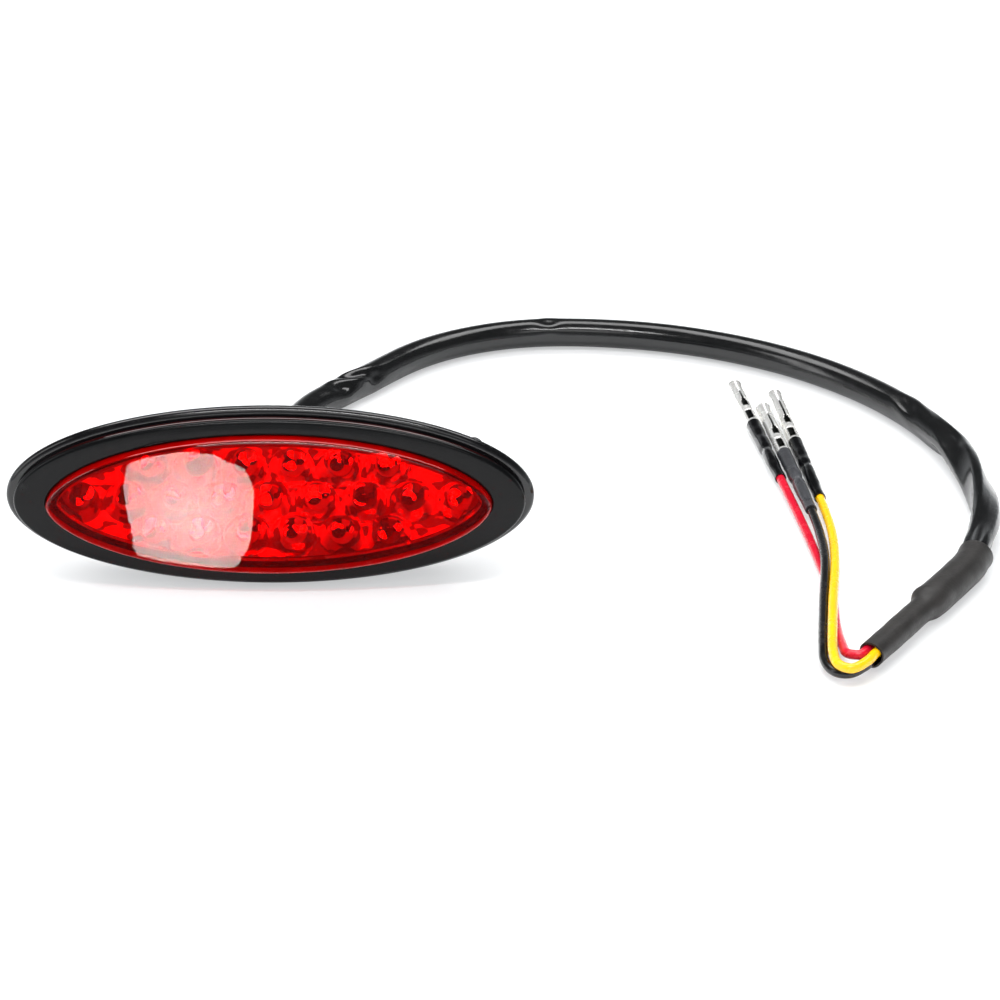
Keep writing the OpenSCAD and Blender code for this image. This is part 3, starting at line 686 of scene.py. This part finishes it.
def cup_faces():
    """Face of the reflector as a grid under the window, with its walls and back."""
    half_w, half_h = WINDOW_W / 2 - 1.2 * CUP_MARGIN, WINDOW_H / 2 - CUP_MARGIN
    columns, rows, crowding = 340, 96, 0.35
    grid = []
    for i in range(columns + 1):
        even, bunched = 2 * i / columns - 1, -cos(pi * i / columns)
        x = half_w * (bunched * crowding + even * (1 - crowding))
        reach = half_h * max(0.0, 1 - (x / half_w) ** 2) ** WINDOW_POWER + 0.02
        for j in range(rows + 1):
            z = (2 * j / rows - 1) * reach
            grid.append((x, REFLECTOR_FRONT + cup_depth(x, z), z))
    step = rows + 1
    faces = [(a, a + 1, a + step + 1, a + step)
             for i in range(columns) for a in range(i * step, i * step + rows)]
    edge = [i * step for i in range(columns + 1)] + [columns * step + j for j in range(1, step)]
    edge += [i * step + rows for i in range(columns - 1, -1, -1)] + list(range(rows - 1, 0, -1))
    base, count = len(grid), len(edge)
    grid += [(grid[v][0], REFLECTOR_BACK, grid[v][2]) for v in edge] + [(0.0, REFLECTOR_BACK, 0.0)]
    pairs = [(k, (k + 1) % count) for k in range(count)]
    faces += [(edge[k], edge[n], base + n, base + k) for k, n in pairs]
    faces += [(base + k, base + n, base + count) for k, n in pairs]
    return grid, faces


def build_reflector():
    """Block under the window with a mirror cup round every LED, on an oval foot with two posts."""
    oval, foot_t, post_r = outline(RIM[0] - 21, RIM[1] - 13.4), 1.6, 1.2
    foot = solid([ring_at(oval, REFLECTOR_BACK - foot_t), ring_at(oval, REFLECTOR_BACK - 0.05)])
    posts = [rod(post_r, REFLECTOR_BACK - 0.5, BOARD_FRONT, x=x * LED_PITCH) for x in (-3.5, 3.5)]
    piece("mirror_cups", join(cup_faces(), foot, *posts), "mirror", "lamp", "reflector", sharp=28)


def led_body(x, z):
    """Round epoxy LED with a foot ring and a domed tip."""
    r, foot_r, ring_r = 2.5, 2.6, 2.9
    dome = [(r * cos(radians(a)), LED_TIP + r - r * sin(radians(a))) for a in range(0, 90, 10)]
    foot = [(foot_r, BOARD_FRONT), (ring_r, BOARD_FRONT - 0.2), (ring_r, BOARD_FRONT - 0.9),
            (foot_r, BOARD_FRONT - 1), (r, BOARD_FRONT - 1.1)]
    return lathe(foot + dome + [(0.15, LED_TIP)], x=x, z=z, count=32, closed=False)


def led_chip(x, z):
    """Post with a cup and a chip, and the second post with its hooked top, inside one LED."""
    cup_y, foot_y, half, post_r = LED_TIP + 2.6, BOARD_FRONT - 0.3, 0.25, 0.35
    profile = [(post_r, foot_y), (post_r, cup_y + 1.2), (0.95, cup_y), (0.7, cup_y), (0.45, cup_y + 0.4)]
    cup = lathe(profile, x=x - 0.45, z=z, count=20, closed=False)
    post = block((x + 0.75, cup_y + 0.3, z - half), (x + 1.15, foot_y, z + half))
    hook = block((x + 0.45, cup_y + 0.3, z - half), (x + 0.8, cup_y + 0.8, z + half))
    return join(cup, post, hook)


def build_leds():
    tail = [MIDDLE_ROW[i] for i in range(0, 9, 2)]
    stop = [p for p in LED_PLACES if p not in tail]
    for name, places in (("tail_leds", tail), ("stop_leds", stop)):
        domes, chips = name.replace("leds", "led_domes"), name.replace("leds", "led_chips")
        piece(domes, join(*[led_body(*p) for p in places]), "epoxy", "lamp", name)
        piece(chips, join(*[led_chip(*p) for p in places]), "chip", "lamp", slot="led_epoxy")


# ---- Cable ----
def run(steps, start, forward, up, pitch=0.8):
    """Stations [place, forward, up, distance] along straights and bends, at most `pitch` mm apart.

    A step is (straight length, bend radius, bend angle, roll); a roll of 0 bends right and 90 bends down."""
    stations = [[start, forward, up, 0.0]]
    for length, radius, angle, roll in steps:
        spot, forward, up, far = stations[-1]
        count = ceil(length / pitch)
        for i in range(1, count + 1):
            stations.append([spot + forward * length * i / count, forward, up, far + length * i / count])
        spot, forward, up, far = stations[-1]
        arc = radius * radians(angle)
        inward = cos(radians(roll)) * forward.cross(up) - sin(radians(roll)) * up
        lean = up.dot(inward)
        count = ceil(arc / pitch)
        for i in range(1, count + 1):
            t = radians(angle) * i / count
            ahead = cos(t) * forward + sin(t) * inward
            side = cos(t) * inward - sin(t) * forward
            stations.append([spot + radius * (1 - cos(t)) * inward + radius * sin(t) * forward,
                             ahead, up - lean * inward + lean * side, far + arc * i / count])
    return stations


def cable_steps(tail):
    """Steps of the cable from the grommet, with `tail` mm after its last bend."""
    drop = -GROUND - CABLE_REST
    drop_r = drop / (2 * (1 - cos(radians(DROP_ANGLE))))
    drop_length = 2 * drop_r * sin(radians(DROP_ANGLE))
    return [(DROP_START - SLEEVE_SPLIT_Y, drop_r, DROP_ANGLE, 90), (0, drop_r, DROP_ANGLE, -90),
            (FIRST_BEND_Y - DROP_START - drop_length, FIRST_BEND_R, FIRST_BEND_ANGLE, 0),
            (LINK_LENGTH, SECOND_BEND_R, 90 - FIRST_BEND_ANGLE, 0), (0, SWEEP_R, SWEEP_ANGLE, 0),
            (0, LAST_BEND_R, LAST_BEND_ANGLE, 0), (tail, 0, 0, 0)]


def cable_run(tail):
    return run(cable_steps(tail), Vector((0, SLEEVE_SPLIT_Y, 0)), Y, Z)


def ring_round(station, radius, count, shift=(0.0, 0.0)):
    """Ring round a station: radius(distance, angle), with the angle from the left over the top."""
    spot, forward, up, far = station
    left = up.cross(forward)
    middle = spot + shift[0] * left + shift[1] * up
    ring = []
    for k in range(count):
        angle = TAU * k / count
        r = radius(far, angle)
        ring.append(middle + r * (cos(angle) * left + sin(angle) * up))
    return ring


def hose(stations, outer, bore, count=48):
    """Open tube with an outer and an inner wall."""
    rings = [ring_round(s, outer, count) for s in stations]
    rings += [ring_round(s, bore, count) for s in reversed(stations)]
    return skin(rings, closed=True)


def swell(value, centre, width):
    """Smooth bump of height 1 round a centre."""
    return exp(-((value - centre) / width) ** 2)


def turn_gap(angle, centre):
    """Smallest signed difference between two angles, in radians."""
    return (angle - centre + pi) % TAU - pi


# Folds in the soft sleeve: distance along it, angle over the top, twist per mm, length, width and depth
FOLDS = [
    (70.0, 2.2, 0.05, 2.6, 0.5, 1.0),
    (75.5, 1.7, 0.12, 3.6, 0.32, 1.0),
    (80.5, 2.7, 0.0, 2.8, 0.5, 0.8),
    (133.0, 1.8, 0.0, 2.2, 0.4, 0.55),
    (231.0, 1.9, 0.08, 4.0, 0.4, 0.8),
    (250.0, 1.5, 0.0, 4.0, 0.5, 0.7),
    (298.0, 2.0, -0.06, 5.0, 0.4, 0.8),
]
# Stretch where the sleeve is wrung into flat facets: first and last place, flatness and twist per mm
WRUNG_START, WRUNG_END, WRUNG_FLATNESS, WRUNG_TWIST = 244.0, 304.0, 0.24, 0.045
# Reach of the three wires from the middle of the sleeve, and how far the soft sleeve swells on its free run
BUNDLE_R = 2.2
SLEEVE_SWELL = 0.35


def smooth_step(value, low, high):
    """Soft change from 0 below `low` to 1 above `high`."""
    share = min(1.0, max(0.0, (value - low) / (high - low)))
    return share * share * (3 - 2 * share)


def wrung_radius(far, angle):
    """Soft run that swells between its ends, with three flat facets winding round it where it is wrung."""
    free = SLEEVE_R + SLEEVE_SWELL * smooth_step(far, 2, 12) * smooth_step(far, WRUNG_END, WRUNG_START)
    share = smooth_step(far, WRUNG_START - 9, WRUNG_START + 9)
    share *= smooth_step(far, WRUNG_END + 3, WRUNG_END - 3)
    facet = TAU / 3
    phi = (angle - WRUNG_TWIST * far) % facet - facet / 2
    flat = free * (1 - WRUNG_FLATNESS * share) / cos(phi)
    return min(free * (1 + 0.05 * share), flat)


def sleeve_radius(far, angle):
    """Soft vinyl: a round tube with slow unevenness, a wrung stretch and a few folds."""
    spot = Vector((cos(angle), sin(angle), far * 0.05))
    r = wrung_radius(far, angle) * (1 + 0.012 * noise.noise(spot * 1.3))
    for centre, place_angle, twist, length, width, depth in FOLDS:
        gap = turn_gap(angle, place_angle + twist * (far - centre))
        along = swell(far, centre, length)
        r -= depth * along * swell(gap, 0.0, width)
        r += 0.3 * depth * along * swell(abs(gap), 2.0 * width, width * 0.8)
    return max(r, BUNDLE_R + 0.2)


def sleeve_bore(far, angle):
    return min(SLEEVE_BORE_R, sleeve_radius(far, angle) - 0.4)


def build_sleeve():
    stations = cable_run(SLEEVE_TAIL)
    long_run = hose(stations, sleeve_radius, sleeve_bore)
    piece("sleeve_hose", long_run, "sleeve", "harness", "cable_sleeve", sharp=60)
    low = box("sleeve_entry")[0].y
    stations = run([(SLEEVE_SPLIT_Y - low, 0, 0, 0)], Vector((0, low, 0)), Y, Z)
    plain = hose(stations, lambda s, a: SLEEVE_R, lambda s, a: SLEEVE_BORE_R)
    root = piece("sleeve_root", plain, "sleeve", None, "sleeve_entry")
    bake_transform(root)


def shrink_radius(far, start, step):
    """Outer radius of the heat-shrink tube: wide on the sleeve, stepped down onto the wires."""
    wide, narrow = 3.55, 2.6
    share = 1 / (1 + exp(-(far - step) / 0.8))
    lip = 0.12 * swell(far, start, 0.8)
    return wide + (narrow - wide) * share + lip


def build_shrink():
    everything = cable_run(SHRINK_TAIL)
    total = everything[-1][3]
    start = total - SHRINK_TAIL - LAST_BEND_R * radians(LAST_BEND_ANGLE)
    step = total - SHRINK_TAIL + SHRINK_STEP
    stations = [s for s in everything if s[3] >= start - 1e-6]

    def outer(far, angle):
        spot = Vector((cos(angle) * 1.4, sin(angle) * 1.4, far * 0.22))
        lumps = 0.12 * noise.noise(spot) + 0.1 * sin(3 * angle + 0.6) * swell(far, total, 26.0)
        shoulder = 0.4 * swell(far, step - 1.0, 1.4) * swell(turn_gap(angle, 2.6), 0.0, 0.8)
        return shrink_radius(far, start, step) + lumps + shoulder

    tube = hose(stations, outer, lambda s, a: outer(s, a) - 0.4)
    piece("shrink_hose", tube, "shrink", "harness", "heat_shrink", sharp=60)


# ---- Leads, boots and sockets ----
def at_mouth(p):
    """Place in the frame, in mm, of a place given from the mouth of the heat-shrink tube."""
    return Vector((MOUTH.x + p[0], MOUTH.y + p[1], GROUND + p[2]))


def spline(points, spans):
    """Catmull-Rom curve through points[1] to points[-3]; the ends only set directions."""
    curve = []
    for k in range(1, len(points) - 2):
        a, b, c, d = points[k - 1:k + 3]
        for j in range(spans):
            t = j / spans
            curve.append(0.5 * (2 * b + (c - a) * t + (2 * a - 5 * b + 4 * c - d) * t ** 2
                                + (3 * b - 3 * c + d - a) * t ** 3))
    return curve


def stations_of(path):
    """Stations along a list of points that never runs straight up."""
    stations, far = [], 0.0
    for i, spot in enumerate(path):
        forward = (path[min(i + 1, len(path) - 1)] - path[max(i - 1, 0)]).normalized()
        left = Z.cross(forward).normalized()
        if i:
            far += (spot - path[i - 1]).length
        stations.append([spot, forward, forward.cross(left), far])
    return stations


def lead_ends(name):
    """Foot of the boot and open end of the socket."""
    foot = at_mouth(LEAD_PLACES[name][-1])
    seat, axis = mount(f"socket_{name}")
    return foot, seat + axis


def build_lead(name):
    """Wire from inside the heat-shrink tube to the crimp of its socket."""
    heading = -radians(SWEEP_ANGLE + LAST_BEND_ANGLE)
    ahead = Vector((cos(heading), sin(heading), 0))
    left = Z.cross(ahead)
    side, rise = BUNDLE[name]
    exit_place = Vector((MOUTH.x, MOUTH.y, GROUND + CABLE_REST + rise)) + left * side
    foot, tip = lead_ends(name)
    axis = (tip - foot).normalized()
    places = [at_mouth(p) for p in LEAD_PLACES[name]]
    points = [exit_place - ahead * 3, exit_place - ahead * 0.4, exit_place + ahead * 0.8] + places
    path = spline(points + [foot + axis * 3], 12) + [foot, foot + axis * 9]
    wire = solid([ring_round(s, lambda s, a: WIRE_R, 24) for s in stations_of(path)])
    obj = piece(f"wire_{name}", wire, f"{name}_wire", None, f"lead_{name}")
    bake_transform(obj)


def along(foot, tip, start, end, pitch=0.4):
    """Stations on the line from a foot to a tip."""
    ahead = (tip - foot).normalized()
    up = ahead.cross(Z.cross(ahead).normalized())
    count = ceil((end - start) / pitch)
    marks = [start + (end - start) * i / count for i in range(count + 1)]
    return [[foot + ahead * far, ahead, up, far] for far in marks]


def build_boot(name, seed):
    """Shrunk vinyl boot: tight on the wire, swollen over the crimp, and open round the socket."""
    foot, tip = lead_ends(name)

    wire_end_r, crimp_rise, crimp_start, bore_r = 1.24, 0.3, 5.5, 1.12

    def outer(far, angle):
        r = wire_end_r + crimp_rise / (1 + exp(-(far - crimp_start) / 0.9))
        r -= 0.26 * swell(far, 13.5 + seed, 1.2)
        r += 0.06 * swell(far, BOOT_LENGTH, 2.0) - 0.1 * swell(far, 20.5 - seed, 1.5)
        flat = 0.18 * cos(2 * (angle - 0.6 - 0.07 * far)) * swell(far, 10.0, 7.0)
        spot = Vector((cos(angle), sin(angle), far * 0.3 + 10 * seed))
        return r + flat + 0.09 * noise.noise(spot)

    def bore(far, angle):
        return WIRE_R + 0.02 if far < 9 else bore_r

    tube = hose(along(foot, tip, 0.0, BOOT_LENGTH), outer, bore, 32)
    vinyl = "grey_boot" if name == "black" else "boot"
    piece(f"boot_tube_{name}", tube, vinyl, "lead_set", f"boot_{name}", sharp=60, slot="sleeve_vinyl")


# Openings in a socket's sheet, as distances from the boot in mm and first and last degree round it
SOCKET_CUTS = [(1.0, 5.5, 50, 110), (8.0, 11.0, 60, 120), (11.0, 12.0, 70, 110), (12.0, 99.0, 80, 100)]


def build_socket(name):
    """Rolled sheet socket with a slot along the top, windows, a waist and a crimp inside the boot."""
    foot, tip = lead_ends(name)
    length = (tip - foot).length
    sheet_r, sheet_t, neck_depth, count = 1.42, 0.24, 0.39, 36

    def middle(far, angle):
        waist = 0.14 * swell(far, BOOT_LENGTH + 6.8, 0.7)
        grip = 0.08 * swell(far, length - 3.0, 1.6)
        neck = neck_depth if far < BOOT_LENGTH - 0.6 else 0.0
        flare = 0.16 * swell(far, length, 0.9)
        return sheet_r - waist - grip - neck + flare

    stations = along(foot, tip, 9.5, length, pitch=0.5)
    verts = [p for s in stations for p in ring_round(s, middle, count)]
    faces = []
    for i in range(len(stations) - 1):
        mid = (stations[i][3] + stations[i + 1][3]) / 2 - BOOT_LENGTH
        for k in range(count):
            degree = 360 * (k + 0.5) / count
            if any(a < mid < b and c < degree < d for a, b, c, d in SOCKET_CUTS):
                continue
            n = (k + 1) % count
            faces.append((i * count + k, i * count + n, (i + 1) * count + n, (i + 1) * count + k))
    obj = add_object(f"socket_sheet_{name}", verts, faces, sharp=50)
    thick = obj.modifiers.new("sheet", "SOLIDIFY")
    thick.thickness = sheet_t * MM
    thick.offset = 0.0
    # The inner shell takes the next material: tinned metal painted dark, as painted shade inside the socket.
    thick.material_offset = 1
    place(obj, "tin", "lead_set", f"socket_{name}")
    obj.data.materials.append(MATERIALS["tin_painted_shade_inside"])


# ---- Grommet ----
def build_grommet():
    """Rubber grommet with an inner flange, a neck in the floor and a flared, grooved tail."""
    low, high = box("cable_grommet")
    tail_r, flange_r, edge, groove = 5.3, 5.5, 0.4, 0.35
    tail = []
    for i in range(1, 4):
        y = high.y * i / 4
        tail += [(tail_r, y - 2 * groove), (tail_r - groove, y - groove), (tail_r - groove, y + groove),
                 (tail_r, y + 2 * groove)]
    profile = [(SLEEVE_R, low.y), (flange_r - edge, low.y), (flange_r, low.y + edge),
               (flange_r, FLOOR_FRONT), (OUTLET_R, FLOOR_FRONT), (OUTLET_R, 0.0), (tail_r, 0.0)] + tail
    profile += [(tail_r, high.y - edge), (tail_r - edge, high.y), (4.2, high.y), (3.15, 3.6),
                (SLEEVE_R, 3.4)]
    piece("grommet_boot", lathe(profile, count=56), "rubber", "lamp", "cable_grommet", sharp=30)


def dress_cad_nodes():
    """Materials for the CAD nodes that stay as they are."""
    finishes = {
        "rubber": ["lens_seal"], "board": ["circuit_board"], "zinc": ["board_screws"],
        "resistor": ["resistors"], "diode": ["diodes"], "moulding": ["voltage_regulator"],
        "nylon": ["cable_tie"], "red_wire": ["inner_lead_red", "core_red"],
        "black_wire": ["inner_lead_black", "core_black"],
        "yellow_wire": ["inner_lead_yellow", "core_yellow"]}
    for finish, names in finishes.items():
        for name in names:
            mesh = frame["nodes"][name].data
            mesh.materials.clear()
            mesh.materials.append(MATERIALS[finish])


# ---- Stage, light and camera, in metres ----
VIEW_TILT = radians(26)
VIEW_DISTANCE, VIEW_RIGHT, VIEW_LOWER = 0.6, 0.04563, 0.0004
LAMP_SPOT = Vector((0, -0.0153, 0))
WORLD_LIGHT = 0.75
TOP_LIGHT, SIDE_LIGHT, FRONT_LIGHT, CAMERA_SIDE_LIGHT = 10.0, 3.4, 2.4, 0.8
# The floor is backlit paper: its own glow, and the share of it that the camera sees
FLOOR_WHITE, FLOOR_BACKLIT = 1.06, 0.44
FLOOR_SIZE, FLOOR_DROP = 6.0, 0.0003
# Window pane mirrored in the lens: middle, half width, half height and gap to the lens in mm, and its glow
PANE_X, PANE_Z, PANE_HALF_W, PANE_HALF_H, PANE_GAP = -16.5, -3.6, 12.6, 14.4, 5.0
PANE_COLOUR, PANE_GLOW, PANE_EDGE_GLOW = (1.0, 0.9, 0.87, 1.0), 215.0, 90.0


def stage_face(name, points, mat):
    """One flat face that belongs to the studio and not to the lamp, from points in mm."""
    mesh = bpy.data.meshes.new(name)
    mesh.from_pydata([Vector(p) * MM for p in points], [], [tuple(range(len(points)))])
    mesh.materials.append(mat)
    obj = linked(name, mesh)
    return obj


def build_floor():
    """Pale backlit paper under the lamp, so that shadows stay faint."""
    mat, tree = new_material("floor_paper")
    grey = tinted(tree, (0.93, 0.935, 0.94), grain(tree, 60.0, 0.99, 1.01))
    paper = node(tree, "BsdfDiffuse", Color=grey)
    white = node(tree, "Emission", Color=(0.98, 0.99, 1.0, 1.0), Strength=FLOOR_WHITE)
    seen = node(tree, "LightPath").outputs["Is Camera Ray"]
    seal(mat, mix_shaders(tree, maths(tree, "MULTIPLY", seen, FLOOR_BACKLIT), paper, white))
    far, low = FLOOR_SIZE / MM, GROUND - FLOOR_DROP / MM
    stage_face("floor", [(x, y, low) for x, y in ((-far, -far), (far, -far), (far, far), (-far, far))], mat)


def aim(obj, spot, way):
    """Puts a light or camera at a place, looking along a direction."""
    obj.location = spot
    obj.rotation_mode = "QUATERNION"
    obj.rotation_quaternion = way.to_track_quat("-Z", "Y")


def area_light(name, spot, target, size, power):
    """Soft rectangular light at a place, aimed at a target."""
    lamp = bpy.data.lights.new(name, "AREA")
    lamp.shape = "RECTANGLE"
    lamp.size, lamp.size_y = size
    lamp.energy = power
    obj = linked(name, lamp)
    obj.visible_camera = False
    aim(obj, Vector(spot), Vector(target) - Vector(spot))


def build_world():
    """White for the camera, plain light for matt surfaces, and a room dark overhead for reflections."""
    world = bpy.data.worlds.new("studio")
    bpy.context.scene.world = world
    world.use_nodes = True
    tree = world.node_tree
    tree.nodes.clear()
    rays = node(tree, "LightPath").outputs
    way = node(tree, "TexCoord").outputs["Generated"]
    height = node(tree, "SeparateXYZ", Vector=way).outputs["Z"]
    lit = node(tree, "Background", Color=(0.97, 0.985, 1.0, 1.0), Strength=WORLD_LIGHT)
    room = node(tree, "Background", Color=(0.94, 0.97, 1.0, 1.0),
                Strength=ramp(tree, height, 0.02, 0.4, 0.95, 0.04))
    seen = node(tree, "Background", Color=(1.0, 1.0, 1.0, 1.0), Strength=1.0)
    mirrored = mix_shaders(tree, rays["Is Glossy Ray"], lit, room)
    node(tree, "OutputWorld", Surface=mix_shaders(tree, rays["Is Camera Ray"], mirrored, seen))


def build_camera():
    """Camera above and in front of the lamp, with the lamp left of the middle."""
    forward = Vector((0, cos(VIEW_TILT), -sin(VIEW_TILT)))
    up = Vector((0, sin(VIEW_TILT), cos(VIEW_TILT)))
    camera = bpy.data.cameras.new("camera")
    camera.sensor_width = 36.0
    camera.lens = 108.9
    camera.clip_start, camera.clip_end = 0.01, 20.0
    obj = linked("camera", camera)
    aim(obj, LAMP_SPOT + X * VIEW_RIGHT - up * VIEW_LOWER - forward * VIEW_DISTANCE, forward)
    bpy.context.scene.camera = obj


def pane_material(points):
    """Glow that shows only in mirror reflections close by, brightest in the middle of the card."""
    mat, tree = new_material("pane")
    low = Vector(map(min, *points))
    high = Vector(map(max, *points))
    spot = node(tree, "NewGeometry").outputs["Position"]
    gap = node(tree, "VectorMath", {"operation": "DISTANCE"}, i0=spot,
               i1=tuple((low + high) / 2 * MM)).outputs["Value"]
    glow = ramp(tree, gap, 0.0, (high - low).length / 2 * MM, PANE_GLOW, PANE_EDGE_GLOW)
    rays = node(tree, "LightPath").outputs
    direct = maths(tree, "LESS_THAN", rays["Transparent Depth"], 0.5)
    near = maths(tree, "LESS_THAN", rays["Ray Length"], 1.4 * PANE_GAP * MM)
    strength = maths(tree, "MULTIPLY", maths(tree, "MULTIPLY", glow, direct), near)
    return seal(mat, node(tree, "Emission", Color=PANE_COLOUR, Strength=strength))


def build_pane():
    """Card with a soft rounded outline that the lens mirrors to the camera, left of its middle."""
    points = []
    for i in range(72):
        t = TAU * i / 72
        bulge = 1 + 0.045 * sin(3 * t + 1.0) + 0.025 * sin(5 * t) + 0.012 * sin(11 * t)
        x = copysign(abs(cos(t)) ** 0.55, cos(t)) * PANE_HALF_W * bulge
        z = copysign(abs(sin(t)) ** 0.6, sin(t)) * PANE_HALF_H * bulge
        points.append((PANE_X + x, LENS_FRONT - PANE_GAP, PANE_Z + z))
    card = stage_face("pane", points, pane_material(points))
    card.visible_camera = card.visible_diffuse = False
    card.visible_shadow = card.visible_transmission = False


def build_lights():
    area_light("top_softbox", (0.05, 0.45, 0.95), (0.05, 0.02, 0), (1.3, 0.45), TOP_LIGHT)
    area_light("front_strip", (0.03, -0.32, 0.62), (0.0, 0, 0), (0.45, 0.05), FRONT_LIGHT)
    area_light("front_softbox", (0.1, -0.6, 0.5), (0.06, 0.05, 0), (0.6, 0.22), CAMERA_SIDE_LIGHT)
    area_light("left_softbox", (-1.1, -0.2, 0.6), (0.03, 0, 0), (0.3, 0.9), SIDE_LIGHT)
    build_pane()


build_floor()
build_world()
build_camera()
build_lights()
bpy.context.scene.view_settings.view_transform = "Standard"

build_lens()
build_bezel()
build_housing()
build_gasket()
build_studs()
build_bezel_screws()
build_reflector()
build_leds()
build_grommet()
build_sleeve()
build_shrink()
for order, wire in enumerate(("red", "black", "yellow")):
    build_lead(wire)
    build_boot(wire, order * 0.7)
    build_socket(wire)
dress_cad_nodes()
